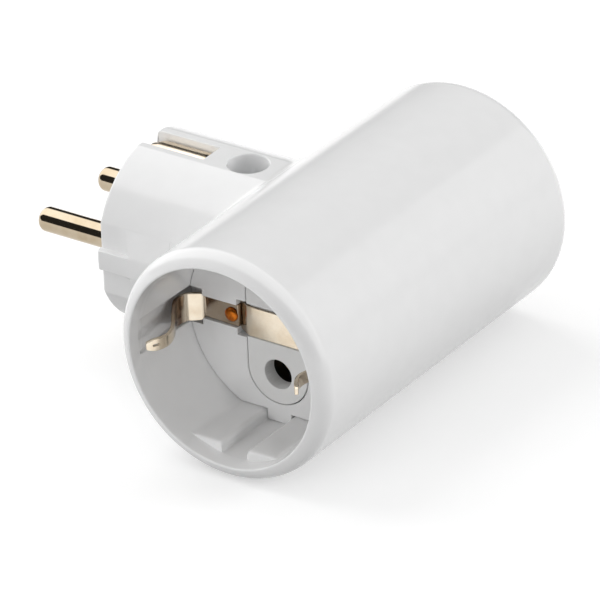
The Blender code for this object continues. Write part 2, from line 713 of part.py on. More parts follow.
def earth_strap(shop):
    """The bright strap over the carrier, with a step and a narrower tab at each end."""
    wide = STRAP_WIDTH / 2
    narrow = FOOT_WIDTH / 2
    step = STRAP_STEP_OFFSET
    foot = step + STRAP_STEP_LENGTH
    taper = (foot + RIVET_OFFSET - RIVET_HEAD_RADIUS) / 2
    half = [
        ((step, -STRAP_LEVEL), -wide, wide, True),
        ((foot, -TAB_LEVEL), -wide, wide, True),
        ((taper, -TAB_LEVEL), -narrow, narrow, False),
        ((RIVET_OFFSET + TAB_OVERHANG, -TAB_LEVEL), -narrow, narrow, False),
    ]
    left = [((-point[0], point[1]), low, high, bend) for point, low, high, bend in reversed(half)]
    rows = bent_rows(left + half, STRAP_BEND)
    strap = strip(rows, lambda point, edge: (point.x, point.y, edge), STRIP_THICKNESS)
    for side in (-1, 1):
        centre = (side * RIVET_OFFSET, 0, 0)
        shop.cut(strap, cylinder(
            RIVET_RADIUS + FINE_GAP, -FLOOR_FRONT, -FLOOR_REAR, "Y", centre, TINY_FACETS
        ))
    return strap


def smooth_between(points, steps):
    """A smooth curve through points, each span by a Catmull-Rom cubic."""
    padded = [2 * points[0] - points[1], *points, 2 * points[-1] - points[-2]]
    curve = [points[0]]
    for a, b, c, d in zip(padded, padded[1:], padded[2:], padded[3:]):
        for i in range(1, steps + 1):
            t = i / steps
            bend = (2 * a - 5 * b + 4 * c - d) * t**2 + (3 * b - a - 3 * c + d) * t**3
            curve.append((2 * b + (c - a) * t + bend) / 2)
    return curve


def earth_clip(shop):
    """A side clip on the plug's side: foot, bend, inward bulge and a narrow tongue back to the wall."""
    foot = FOOT_WIDTH / 2
    stations = [Vector((CLIP_BEND_START, FOOT_LEVEL, CLIP_WIDTH / 2))]
    for swing, height, width in CLIP_SHARES:
        offset = CLIP_ROOT - CLIP_SWING * swing
        stations.append(Vector((offset, FOOT_LEVEL + CLIP_HEIGHT * height, CLIP_WIDTH * width / 2)))
    flat = [
        (Vector((FOOT_OVERHANG - RIVET_OFFSET, -FOOT_LEVEL)), -foot, foot),
        (Vector((-POCKET_START, -FOOT_LEVEL)), -foot, foot),
    ]
    curve = [
        (Vector((-point.x, -point.y)), -point.z, point.z)
        for point in smooth_between(stations, CURVE_STEPS)
    ]
    clip = strip(flat + curve, lambda point, edge: (point.x, point.y, edge), STRIP_THICKNESS)
    centre = (-RIVET_OFFSET, 0, 0)
    return shop.cut(clip, cylinder(
        RIVET_RADIUS + FINE_GAP, -FLOOR_FRONT, -FLOOR_REAR, "Y", centre, TINY_FACETS
    ))


def earth_rivet(back):
    """A rivet along Y from its domed head on the clip's foot to the upset head behind the given place."""
    head_seat = FOOT_LEVEL + STRIP_THICKNESS / 2 + FINE_GAP
    crown = head_seat + RIVET_HEAD_HEIGHT
    dome = arc(
        RIVET_HEAD_RADIUS - RIVET_HEAD_HEIGHT / 2,
        -crown + RIVET_HEAD_HEIGHT / 2,
        RIVET_HEAD_HEIGHT / 2,
        -QUARTER_TURN,
        0,
        EDGE_STEPS,
    )
    tail = -back + FINE_GAP
    profile = [
        (0, -crown),
        *dome,
        (RIVET_HEAD_RADIUS, -head_seat),
        (RIVET_RADIUS, -head_seat),
        (RIVET_RADIUS, tail),
        (RIVET_HEAD_RADIUS, tail),
        (RIVET_HEAD_RADIUS, tail + RIVET_HEAD_HEIGHT),
        (0, tail + RIVET_HEAD_HEIGHT),
    ]
    return turned(profile, "Y", (0, 0, 0), TINY_FACETS)


def build_sockets(shop):
    """Both sockets: the one on the -Y side, and its mirror image on the +Y side."""
    near = [
        ("floor", shop.part("near_floor", floor_disc(shop), shop.white)),
        ("contact_carrier", shop.part("near_contact_carrier", contact_carrier(shop), shop.grey)),
        ("earth_strap", shop.part("near_earth_strap", earth_strap(shop), shop.nickel)),
    ]
    pattern = contact_sleeve(shop)
    for label, level in (("live_sleeve", 1), ("neutral_sleeve", -1)):
        sleeve = bpy.data.objects.new("sleeve", pattern.data.copy())
        sleeve.location = (0, 0, level * PIN_OFFSET)
        near.append((label, shop.part("near_" + label, sleeve, shop.brass)))
    bpy.data.objects.remove(pattern)
    inner_clip = shop.part("near_inner_clip", earth_clip(shop), shop.nickel)
    near.append(("inner_clip", inner_clip))
    near.append(("outer_clip", mirrored(shop, inner_clip, "near_outer_clip", "X")))
    lug_back = LUG_LEVEL - LINK_THICKNESS / 2
    for label, side, back in (("inner_rivet", -1, lug_back), ("outer_rivet", 1, FLOOR_REAR)):
        rivet = earth_rivet(back)
        rivet.location = (side * RIVET_OFFSET, 0, 0)
        near.append((label, shop.part("near_" + label, rivet, shop.copper)))
    for label, piece in near:
        mirrored(shop, piece, "far_" + label, "Y")


def build_pins(shop):
    """The two round pins, each with a collar in the insert and a riveted end on its bar."""
    shoulder = TAIL_LEVEL - BAR_THICKNESS / 2 - FINE_GAP
    head = TAIL_LEVEL + BAR_THICKNESS / 2 + FINE_GAP
    tip = FACE - PIN_LENGTH
    collar = FACE + PIN_COLLAR_START
    dome = [
        (PIN_RADIUS * math.sin(a), tip + PIN_TIP_LENGTH * (1 - math.cos(a)))
        for a in (QUARTER_TURN * i / CURVE_STEPS for i in range(CURVE_STEPS + 1))
    ]
    profile = [
        *dome,
        (PIN_RADIUS, collar),
        (PIN_COLLAR_RADIUS, collar),
        (PIN_COLLAR_RADIUS, collar + PIN_COLLAR_LENGTH),
        (PIN_RADIUS, collar + PIN_COLLAR_LENGTH),
        (PIN_RADIUS, shoulder),
        (PIN_STUB_RADIUS, shoulder),
        (PIN_STUB_RADIUS, head),
        (PIN_HEAD_RADIUS, head),
        (PIN_HEAD_RADIUS, head + PIN_HEAD_LENGTH),
        (0, head + PIN_HEAD_LENGTH),
    ]
    for name, side in (("near_plug_pin", -1), ("far_plug_pin", 1)):
        pin = turned(profile, "X", (0, 0, 0), SMALL_FACETS)
        pin.location = (0, side * PIN_OFFSET, 0)
        shop.part(name, pin, shop.nickel)


def build_insert(shop):
    """The moulded insert in the plug's face, which carries the pins and takes both screws."""
    flange_end = FACE + INSERT_SEAT_DEPTH - GAP
    rounding = INSERT_EDGE_ROUNDING
    edge = arc(
        INSERT_FLANGE_RADIUS - rounding, FACE + rounding, rounding, -QUARTER_TURN, 0, EDGE_STEPS
    )
    profile = [
        (0, FACE),
        *edge,
        (INSERT_FLANGE_RADIUS, flange_end),
        (INSERT_BODY_RADIUS, flange_end),
        (INSERT_BODY_RADIUS, INSERT_REAR),
        (0, INSERT_REAR),
    ]
    insert = turned(profile, "X", (0, 0, 0), NECK_FACETS)
    tongue_half = TONGUE_WIDTH / 2
    tongue_level = TONGUE_HEIGHT / 2
    shop.join(insert, box(
        (INSERT_REAR - OVERRUN, -tongue_half, -tongue_level), (TONGUE_END, tongue_half, tongue_level)
    ))
    for side in (-1, 1):
        centre = (0, side * PIN_OFFSET, 0)
        seat = FACE + PIN_COLLAR_START - GAP
        shop.cut(
            insert,
            cylinder(PIN_RADIUS + GAP, FACE - OVERRUN, INSERT_REAR, "X", centre, SMALL_FACETS),
            cylinder(PIN_COLLAR_RADIUS + GAP, seat, INSERT_REAR + OVERRUN, "X", centre, SMALL_FACETS),
        )
    web = BOW_THICKNESS / 2 + GAP
    half = BOW_WIDTH / 2 + GAP
    shop.cut(insert, box((BOW_WEB - web, -half, -NECK_RADIUS), (BOW_WEB + web, half, NECK_RADIUS)))
    stem = LINK_STEM_WIDTH / 2 + GAP
    level = LINK_THICKNESS / 2 + GAP
    shop.cut(insert, box(
        (BOW_WEB, -stem, -LINK_LEVEL - level), (TONGUE_END + OVERRUN, stem, -LINK_LEVEL + level)
    ))
    pilot = tongue_level + OVERRUN
    shop.cut(insert, cylinder(SCREW_RADIUS + GAP, -pilot, pilot, "Z", (WELL_AXIS, 0, 0), TINY_FACETS))
    return shop.part("plug_insert", insert, shop.white)


def build_screws(shop):
    """The slotted screws at the bottom of the wells."""
    seat = WELL_FLOOR_OFFSET + GAP
    top = seat + SCREW_HEAD_HEIGHT
    chamfer = SCREW_TIP_CHAMFER
    profile = [
        (0, SCREW_TIP_OFFSET),
        (SCREW_RADIUS - chamfer, SCREW_TIP_OFFSET),
        (SCREW_RADIUS, SCREW_TIP_OFFSET + chamfer),
        (SCREW_RADIUS, seat),
        (SCREW_HEAD_RADIUS, seat),
        (SCREW_HEAD_RADIUS, top - chamfer),
        (SCREW_HEAD_RADIUS - chamfer, top),
        (0, top),
    ]
    for name, turn in (("top_screw", 0), ("bottom_screw", math.pi)):
        screw = turned(profile, "Z", (0, 0, 0), SMALL_FACETS)
        reach = SCREW_HEAD_RADIUS + OVERRUN
        half = SCREW_SLOT_WIDTH / 2
        slot = box((-reach, -half, top - SCREW_SLOT_DEPTH), (reach, half, top + OVERRUN))
        shop.cut(screw, slot)
        screw.location = (WELL_AXIS, 0, 0)
        screw.rotation_euler = (turn, 0, 0)
        shop.part(name, screw, shop.steel)


def build_bow(shop):
    """The plug's earth bow: a contact in each flat, joined by a web behind the pins' collars."""
    nose = FACE + BOW_NOSE_SETBACK
    half = BOW_WIDTH / 2
    upper = [
        ((nose, BOW_LEVEL - BOW_NOSE_DROP), -half, half, False),
        ((nose + BOW_NOSE_LENGTH, BOW_LEVEL), -half, half, False),
        ((BOW_WEB, BOW_LEVEL), -half, half, True),
    ]
    lower = [((point[0], -point[1]), low, high, bend) for point, low, high, bend in reversed(upper)]
    rows = bent_rows(upper + lower, BOW_BEND)
    bow = strip(rows, lambda point, edge: (point.x, edge, point.y), BOW_THICKNESS)
    return shop.part("plug_earth_bow", bow, shop.nickel)


def build_bars(shop):
    """The live and neutral bars, from a pin's end round the carriers to both sockets' sleeves."""
    tail = (-PIN_OFFSET - BAR_TAIL_WIDTH / 2, -PIN_OFFSET + BAR_TAIL_WIDTH / 2)
    riser = -BAR_RISER_OFFSET
    spread = BAR_LEVEL + BAR_BEND + BAR_TAPER
    gather = PIN_OFFSET - BAR_BEND - BAR_TAPER
    corners = [
        ((TAIL_LEVEL, -BAR_TAIL_DROP), *tail, False),
        ((TAIL_LEVEL, BAR_LEVEL), *tail, True),
        ((riser, BAR_LEVEL), *tail, True),
        ((riser, spread), tail[0], BAR_HALF, False),
        ((riser, gather), tail[0], BAR_HALF, False),
        ((riser, PIN_OFFSET), -BAR_HALF, BAR_HALF, True),
        ((BAR_HALF, PIN_OFFSET), -BAR_HALF, BAR_HALF, False),
    ]
    rows = bent_rows(corners, BAR_BEND)
    for name, turn in (("live_bar", 0), ("neutral_bar", math.pi)):
        bar = strip(rows, lambda point, edge: (point.x, edge, point.y), BAR_THICKNESS)
        hole = cylinder(
            PIN_STUB_RADIUS + FINE_GAP,
            TAIL_LEVEL - OVERRUN,
            TAIL_LEVEL + OVERRUN,
            "X",
            (0, -PIN_OFFSET, 0),
            TINY_FACETS,
        )
        shop.cut(bar, hole)
        bar.rotation_euler = (turn, 0, 0)
        shop.part(name, bar, shop.brass)


def build_link(shop):
    """The earth link: a stem from the plug's bow to a cross bar whose lugs meet both sockets' rivets."""
    inner = -RIVET_OFFSET - LINK_BAR_WIDTH / 2
    outer = -RIVET_OFFSET + LINK_BAR_WIDTH / 2
    corners = [
        ((-LUG_LEVEL, LINK_LUG_HEIGHT), inner, outer, False),
        ((-LUG_LEVEL, -LINK_LEVEL), inner, outer, True),
        ((LUG_LEVEL, -LINK_LEVEL), inner, outer, True),
        ((LUG_LEVEL, LINK_LUG_HEIGHT), inner, outer, False),
    ]
    rows = bent_rows(corners, LINK_BEND)
    link = strip(rows, lambda point, edge: (edge, point.x, point.y), LINK_THICKNESS)
    stem_start = BOW_WEB + BOW_THICKNESS / 2 + FINE_GAP
    half = LINK_STEM_WIDTH / 2
    level = LINK_THICKNESS / 2
    middle = (inner + outer) / 2
    shop.join(link, box((stem_start, -half, -LINK_LEVEL - level), (middle, half, -LINK_LEVEL + level)))
    hole_reach = LUG_LEVEL + OVERRUN
    shop.cut(
        link,
        cylinder(SCREW_RADIUS + GAP, -NECK_RADIUS, 0, "Z", (WELL_AXIS, 0, 0), TINY_FACETS),
        cylinder(
            RIVET_RADIUS + FINE_GAP, -hole_reach, hole_reach, "Y", (-RIVET_OFFSET, 0, 0), TINY_FACETS
        ),
    )
    return shop.part("earth_link", link, shop.brass)


def main():
    clear_scene()
    shop = Workshop()
    build_casing(shop)
    build_sockets(shop)
    build_insert(shop)
    build_pins(shop)
    build_screws(shop)
    build_bow(shop)
    build_bars(shop)
    build_link(shop)


main()
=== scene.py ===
"""Looks of a double socket adapter, built round its fixed frame.

Sizes are in millimetres in the frame's own axes: the plug's pins point along -X, the tube lies along Y and
+Z is up. The origin is the centre of the plug's face.
"""

import logging
import math
from dataclasses import dataclass
from enum import Enum

import bmesh
import bpy
import numpy as np
from mathutils import Matrix, Vector


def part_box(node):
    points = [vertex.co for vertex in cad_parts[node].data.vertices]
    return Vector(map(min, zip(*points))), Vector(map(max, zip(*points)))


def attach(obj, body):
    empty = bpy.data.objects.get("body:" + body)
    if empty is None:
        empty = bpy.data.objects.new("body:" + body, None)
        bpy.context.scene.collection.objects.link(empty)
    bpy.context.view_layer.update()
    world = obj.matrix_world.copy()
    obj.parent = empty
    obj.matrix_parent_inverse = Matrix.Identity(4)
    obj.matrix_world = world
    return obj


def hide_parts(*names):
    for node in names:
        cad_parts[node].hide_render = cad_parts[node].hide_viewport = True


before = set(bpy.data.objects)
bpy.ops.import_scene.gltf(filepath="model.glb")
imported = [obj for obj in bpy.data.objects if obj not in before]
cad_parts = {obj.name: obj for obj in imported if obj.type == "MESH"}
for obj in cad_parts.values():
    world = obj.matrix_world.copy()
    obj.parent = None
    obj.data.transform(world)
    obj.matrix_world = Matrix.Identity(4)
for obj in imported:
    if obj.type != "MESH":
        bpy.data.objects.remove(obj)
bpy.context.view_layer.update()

LOG = logging.getLogger("adapter")
Array = np.ndarray
Colour = tuple[float, float, float, float]
Pairs = tuple[tuple[float, float], ...]
Material = bpy.types.Material
NodeTree = bpy.types.NodeTree
NodeSocket = bpy.types.NodeSocket
Solid = bpy.types.Object

MM = 0.001
FINE_GAP = 0.2
OVERRUN = 1.0
MERGE = 0.002
CREASE = math.radians(32)
QUARTER = math.pi / 2
BEND_STEPS = 8
STRIP_EDGE = 0.12
STRIP_EDGE_POINTS = 4
STRIP_END_SHARE = 0.95
CROWN_POINTS = 7
CROWN_REACH = 0.75
# Nearly all values of a noise lie between these two
NOISE_LOW = 0.3
NOISE_HIGH = 0.7


class Side(Enum):
    """The two ends of the tube, each with the sign of its Y direction."""

    NEAR = -1.0
    FAR = 1.0

    @property
    def label(self) -> str:
        """The word that this side's pieces start with."""
        return self.name.lower()


class Axis(Enum):
    """The axis that a turned piece is turned about."""

    X = (1, 2, 0)
    Y = (0, 2, 1)
    Z = (0, 1, 2)


class Work(Enum):
    """What an exact Boolean does with its tool."""

    JOIN = "UNION"
    CUT = "DIFFERENCE"


class NeckPart(Enum):
    """The parts of the plug neck's outline, in their order round a quarter."""

    SIDE = 0
    ROUND = 1
    GROOVE = 2


def linear(code: str) -> Colour:
    """Turn an sRGB hex colour into linear light.

    A value up to 0.04045 is divided by 12.92. A larger one is raised to 2.4 after its offset of 0.055.

    Args:
        code: the colour as a hash and six hex digits.

    Returns:
        Linear red, green and blue, and an alpha of one.
    """
    srgb = np.array([int(code[i:i + 2], 16) / 255 for i in (1, 3, 5)])
    light = np.where(srgb <= 0.04045, srgb / 12.92, ((srgb + 0.055) / 1.055) ** 2.4)
    return (*light.tolist(), 1.0)


def add_node(
    tree: NodeTree, kind: str, settings: dict | None = None, links: dict | None = None
) -> bpy.types.Node:
    """Add one shader node with its settings and links.

    Args:
        tree: the node tree.
        kind: the node's type.
        settings: values by attribute name, or by the name or number of an input.
        links: output sockets by the name or number of the input that they feed.

    Returns:
        The new node.
    """
    node = tree.nodes.new(kind)
    for key, value in (settings or {}).items():
        if isinstance(key, str) and hasattr(node, key):
            setattr(node, key, value)
        else:
            node.inputs[key].default_value = value
    for key, socket in (links or {}).items():
        tree.links.new(socket, node.inputs[key])
    return node


def new_material(name: str) -> tuple[Material, NodeTree]:
    """Make a material with an empty node tree.

    Args:
        name: the material's name.

    Returns:
        The material and its node tree.
    """
    material = bpy.data.materials.new(name)
    material.use_nodes = True
    material.node_tree.nodes.clear()
    return material, material.node_tree


def from_middle(tree: NodeTree, place: NodeSocket) -> NodeSocket:
    """How far a point is from the tube's middle plane: its place along Y without the sign, in metres."""
    along = add_node(tree, "ShaderNodeSeparateXYZ", links={0: place}).outputs[1]
    return add_node(tree, "ShaderNodeMath", {"operation": "ABSOLUTE"}, {0: along}).outputs[0]


@dataclass(frozen=True)
class MouldedPlastic:
    """Injection-moulded thermoplastic, as it comes from a polished or a fine-etched tool.

    The skin follows the tool, so gloss is even, with a faint slow ripple where the wall shrank.
    """

    name: str
    colour: str
    shade: str
    roughness: float
    ripple: float
    ripple_depth: float
    grain: float
    grain_depth: float
    ripple_detail: float = 1.0
    grain_detail: float = 2.0
    ior: float = 1.53
    gloss_low: float = 0.85
    gloss_high: float = 1.15
    # Painted shade: its colour, and the distance from the tube's middle plane within which it is painted
    dark: str = "#1C1C1C"
    painted_shade_within: float = 0.0

    def material(self) -> Material:
        """Build the material: two near shades, a slow ripple and a fine grain in the gloss.

        Where a painted-shade depth is set, shade is painted dark on the moulding nearer than that to the
        tube's middle plane, where the chambers lie in shade. The roughness goes from gloss_low to gloss_high
        times its value with the grain.

        Returns:
            The material.
        """
        material, tree = new_material(self.name)
        place = add_node(tree, "ShaderNodeTexCoord").outputs["Object"]
        slow = {"Scale": 1 / (self.ripple * MM), "Detail": self.ripple_detail}
        ripple = add_node(tree, "ShaderNodeTexNoise", slow, {"Vector": place}).outputs["Fac"]
        fine = {"Scale": 1 / (self.grain * MM), "Detail": self.grain_detail}
        grain = add_node(tree, "ShaderNodeTexNoise", fine, {"Vector": place}).outputs["Fac"]
        tint = add_node(
            tree,
            "ShaderNodeMix",
            {"data_type": "RGBA", 6: linear(self.colour), 7: linear(self.shade)},
            {0: ripple},
        ).outputs[2]
        # Painted shade: a dark colour inside the chambers stands in for the shade that falls there
        if self.painted_shade_within:
            away = from_middle(tree, place)
            inside = add_node(
                tree, "ShaderNodeMath", {"operation": "LESS_THAN", 1: self.painted_shade_within * MM}, {0: away}
            ).outputs[0]
            tint = add_node(
                tree, "ShaderNodeMix", {"data_type": "RGBA", 7: linear(self.dark)}, {0: inside, 6: tint}
            ).outputs[2]
        low, high = self.roughness * self.gloss_low, self.roughness * self.gloss_high
        gloss = add_node(
            tree,
            "ShaderNodeMapRange",
            {"From Min": NOISE_LOW, "From Max": NOISE_HIGH, "To Min": low, "To Max": high},
            {"Value": grain},
        ).outputs[0]
        wave = add_node(
            tree, "ShaderNodeBump", {"Strength": 1.0, "Distance": self.ripple_depth * MM}, {"Height": ripple}
        ).outputs[0]
        skin = add_node(
            tree,
            "ShaderNodeBump",
            {"Strength": 1.0, "Distance": self.grain_depth * MM},
            {"Height": grain, "Normal": wave},
        ).outputs[0]
        shader = add_node(
            tree,
            "ShaderNodeBsdfPrincipled",
            {"IOR": self.ior},
            {"Base Color": tint, "Roughness": gloss, "Normal": skin},
        ).outputs[0]
        add_node(tree, "ShaderNodeOutputMaterial", links={"Surface": shader})
        return material


@dataclass(frozen=True)
class WorkedMetal:
    """Stamped, turned or plated metal: fine lines from rolling or turning, and a thin cloudy tarnish."""

    name: str
    colour: str
    tarnish: str
    roughness: float
    line_spacing: float
    line_depth: float
    stretch: tuple[float, float, float]
    gloss_low: float = 0.8
    gloss_high: float = 1.3
    line_detail: float = 2.0
    cloud: float = 3.0
    cloud_detail: float = 3.0
    cloud_low: float = 0.35
    cloud_high: float = 0.75
    clouded: float = 0.8
    # Painted shade: a brown laid on by distance from the tube's middle plane, for shade and dark reflections
    painted_shade_brown: str = "#5B3B23"
    painted_shade_shares: Pairs = ()
    painted_shade_span: float = 50.0

    def material(self) -> Material:
        """Build the material: clouds of tarnish in the colour, drawn lines in the gloss and the relief.

        Each pair of the painted shade's shares is a distance from the tube's middle plane and the share of
        brown painted shade there.

        Returns:
            The material.
        """
        material, tree = new_material(self.name)
        place = add_node(tree, "ShaderNodeTexCoord").outputs["Object"]
        clouds = {"Scale": 1 / (self.cloud * MM), "Detail": self.cloud_detail}
        cloud = add_node(tree, "ShaderNodeTexNoise", clouds, {"Vector": place}).outputs["Fac"]
        share = add_node(
            tree,
            "ShaderNodeMapRange",
            {"From Min": self.cloud_low, "From Max": self.cloud_high, "To Min": 0.0, "To Max": self.clouded},
            {"Value": cloud},
        ).outputs[0]
        tint = add_node(
            tree,
            "ShaderNodeMix",
            {"data_type": "RGBA", 6: linear(self.colour), 7: linear(self.tarnish)},
            {0: share},
        ).outputs[2]
        # Painted shade: brown mixed in by distance from the middle plane, where the clips and tabs lie in
        # shade
        if self.painted_shade_shares:
            away = from_middle(tree, place)
            level = add_node(
                tree, "ShaderNodeMath", {"operation": "DIVIDE", 1: self.painted_shade_span * MM}, {0: away}
            ).outputs[0]
            ramp = add_node(tree, "ShaderNodeValToRGB", links={0: level})
            stops = ramp.color_ramp.elements
            for number, (distance, amount) in enumerate(self.painted_shade_shares):
                stop = stops[number] if number < 2 else stops.new(1.0)
                stop.position = distance / self.painted_shade_span
                stop.color = (amount, amount, amount, 1.0)
            tint = add_node(
                tree,
                "ShaderNodeMix",
                {"data_type": "RGBA", 7: linear(self.painted_shade_brown)},
                {0: ramp.outputs[0], 6: tint},
            ).outputs[2]
        drawn = add_node(tree, "ShaderNodeMapping", {"Scale": self.stretch}, {"Vector": place}).outputs[0]
        fine = {"Scale": 1 / (self.line_spacing * MM), "Detail": self.line_detail}
        lines = add_node(tree, "ShaderNodeTexNoise", fine, {"Vector": drawn}).outputs["Fac"]
        low, high = self.roughness * self.gloss_low, self.roughness * self.gloss_high
        gloss = add_node(
            tree,
            "ShaderNodeMapRange",
            {"From Min": NOISE_LOW, "From Max": NOISE_HIGH, "To Min": low, "To Max": high},
            {"Value": lines},
        ).outputs[0]
        relief = add_node(
            tree, "ShaderNodeBump", {"Strength": 1.0, "Distance": self.line_depth * MM}, {"Height": lines}
        ).outputs[0]
        shader = add_node(
            tree,
            "ShaderNodeBsdfPrincipled",
            {"Metallic": 1.0},
            {"Base Color": tint, "Roughness": gloss, "Normal": relief},
        ).outputs[0]
        add_node(tree, "ShaderNodeOutputMaterial", links={"Surface": shader})
        return material


# White ABS from a polished tool: bright, glossy, and barely wavy where the thick wall shrank
GLOSSY_WHITE = MouldedPlastic(
    "white_abs_polished", "#F2F2F2", "#EEEEEE", 0.16, ripple=4.0, ripple_depth=0.0012, grain=0.25,
    grain_depth=0.0001
)
# The carrier is a flame-resistant polyamide from a fine-etched tool: a satin skin, with shade painted dark in
# its chambers.
# The etched grain is some hundredths of a millimetre in truth, and is drawn coarser so that it shows
SATIN_WHITE = MouldedPlastic(
    "polyamide_etched", "#F0F0EF", "#EAEAE9", 0.34, ripple=3.0, ripple_depth=0.001, grain=0.12,
    grain_depth=0.0008, painted_shade_within=20.05
)
# Brass plated with bright nickel: pale and warm, mirror-like across the rolling lines, with brown shade
# painted on the strap's tabs and the clips' feet and bent uprights, where shade and dark reflections fall.
# Rolling lines are some hundredths of a millimetre apart in truth, and are drawn wider here and on the bare
# brass so that they show
NICKELLED = WorkedMetal(
    "brass_bright_nickelled", "#F3E7D3", "#C3A06C", 0.17, line_spacing=0.12, line_depth=0.0006,
    stretch=(0.12, 1.0, 1.0), clouded=0.35,
    painted_shade_shares=(
        (20.5, 0.0), (21.2, 0.6), (22.75, 0.6), (23.2, 0.0), (25.2, 0.0), (26.4, 0.92), (30.5, 0.8),
        (34.5, 0.25), (37.0, 0.15), (39.5, 0.0),
    )
)
# Turned pins: the same plating over fine turning marks that run round the pin, so lines crowd along X
NICKELLED_TURNED = WorkedMetal(
    "brass_turned_nickelled", "#BFB19B", "#AE9C80", 0.09, line_spacing=0.15, line_depth=0.0008,
    stretch=(1.0, 0.15, 0.15)
)
# Bare brass strip: deeper yellow with brown clouds of oxide
BARE_BRASS = WorkedMetal(
    "brass_bare_stamped", "#D8B465", "#A57A38", 0.28, line_spacing=0.12, line_depth=0.0008,
    stretch=(0.12, 1.0, 1.0)
)
# Upset copper rivet: reddish, with the dull spots that the setting tool leaves
COPPER = WorkedMetal(
    "copper_upset", "#CF7526", "#8A4114", 0.3, line_spacing=0.3, line_depth=0.001, stretch=(1.0, 1.0, 1.0),
    cloud=1.2
)
# Zinc-plated screw: cool grey with a slightly milky passivation
ZINC = WorkedMetal(
    "steel_zinc_plated", "#C3C6C8", "#9EA3A6", 0.3, line_spacing=0.2, line_depth=0.0008,
    stretch=(1.0, 1.0, 1.0)
)


@dataclass
class Grid:
    """A sheet of points in rows and columns, in millimetres, that may close on itself either way."""

    points: Array
    closed_rows: bool = False
    closed_columns: bool = False

    def faces(self) -> Array:
        """Join each point with its next in the row and in the column.

        Returns:
            Four point numbers for each face.
        """
        rows, columns = self.points.shape[:2]
        index = np.arange(rows * columns).reshape(rows, columns)
        if self.closed_rows:
            index = np.vstack([index, index[:1]])
        if self.closed_columns:
            index = np.hstack([index, index[:, :1]])
        quads = [index[:-1, :-1], index[:-1, 1:], index[1:, 1:], index[1:, :-1]]
        return np.stack(quads, axis=-1).reshape(-1, 4)


def working_solid(grids: list[Grid]) -> Solid:
    """Make one mesh object of several closed grids, with doubles merged and faces pointing out.

    Args:
        grids: closed sheets of points.

    Returns:
        An object that isn't in the scene yet.
    """
    starts = np.cumsum([0] + [grid.points.shape[0] * grid.points.shape[1] for grid in grids[:-1]])
    points = np.concatenate([grid.points.reshape(-1, 3) for grid in grids]) * MM
    faces = np.concatenate([grid.faces() + start for grid, start in zip(grids, starts)])
    mesh = bpy.data.meshes.new("solid")
    mesh.from_pydata(points.tolist(), [], faces.tolist())
    shell = bmesh.new()
    shell.from_mesh(mesh)
    bmesh.ops.remove_doubles(shell, verts=shell.verts, dist=MERGE * MM)
    bmesh.ops.recalc_face_normals(shell, faces=shell.faces)
    shell.to_mesh(mesh)
    shell.free()
    return bpy.data.objects.new("solid", mesh)


def combine(target: Solid, tool: Solid, work: Work) -> Solid:
    """Apply one exact Boolean of a tool to a working solid, and clear the tool away.

    Args:
        target: the solid that is changed.
        tool: the solid that is joined or cut away.
        work: whether it is joined or cut away.

    Returns:
        The changed solid.
    """
    scene = bpy.context.scene
    for obj in (target, tool):
        scene.collection.objects.link(obj)
    modifier = target.modifiers.new("combine", "BOOLEAN")
    modifier.operation = work.value
    modifier.solver = "EXACT"
    modifier.object = tool
    graph = bpy.context.evaluated_depsgraph_get()
    graph.update()
    mesh = bpy.data.meshes.new_from_object(target.evaluated_get(graph))
    target.modifiers.clear()
    target.data = mesh
    scene.collection.objects.unlink(target)
    bpy.data.objects.remove(tool, do_unlink=True)
    return target


def fused(grids: list[Grid]) -> Solid:
    """Make one solid of closed grids that overlap, by joining each to the first in turn.

    Args:
        grids: closed sheets of points.

    Returns:
        The joined solid.
    """
    solid = working_solid(grids[:1])
    for grid in grids[1:]:
        combine(solid, working_solid([grid]), Work.JOIN)
    return solid


def finish_piece(
    obj: Solid, name: str, material: Material, nodes: tuple[str, ...]
) -> Solid:
    """Name, dress and place a solid as a piece of the adapter.

    Args:
        obj: the solid.
        name: the piece's name.
        material: its finish.
        nodes: the frame's nodes that it stands for.

    Returns:
        The piece.
    """
    obj.name = name
    obj.data.name = name
    obj.data.materials.clear()
    obj.data.materials.append(material)
    obj.data.shade_smooth()
    obj.data.set_sharp_from_angle(angle=CREASE)
    even = obj.modifiers.new("even_normals", "WEIGHTED_NORMAL")
    even.keep_sharp = True
    bpy.context.scene.collection.objects.link(obj)
    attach(obj, "root")
    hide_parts(*nodes)
    LOG.info("%s: %d faces", name, len(obj.data.polygons))
    return obj


def rounded(corners: list[tuple[float, float]], radii: list[float], steps: int = 5) -> Array:
    """Turn the corners of an open polyline into arcs that touch both sides.

    An arc's centre lies on the corner's bisector, at the radius over the sine of half the corner's angle.

    Args:
        corners: points of the polyline.
        radii: a radius for each corner, zero where it stays sharp.
        steps: spans in each arc.

    Returns:
        Points of the rounded polyline.
    """
    places = np.array(corners, float)
    pieces = [places[:1]]
    for before, corner, after, radius in zip(places, places[1:], places[2:], radii[1:]):
        if radius == 0:
            pieces.append(corner[None])
            continue
        back = (before - corner) / np.linalg.norm(before - corner)
        on = (after - corner) / np.linalg.norm(after - corner)
        half = math.acos(float(np.clip(back @ on, -1, 1))) / 2
        run = radius / math.tan(half)
        centre = corner + (back + on) / np.linalg.norm(back + on) * radius / math.sin(half)
        first, last = corner + back * run - centre, corner + on * run - centre
        start = math.atan2(first[1], first[0])
        turn = math.remainder(math.atan2(last[1], last[0]) - start, math.tau)
        angles = start + turn * np.linspace(0, 1, steps + 1)
        pieces.append(centre + radius * np.stack([np.cos(angles), np.sin(angles)], axis=-1))
    pieces.append(places[-1:])
    return np.concatenate(pieces)


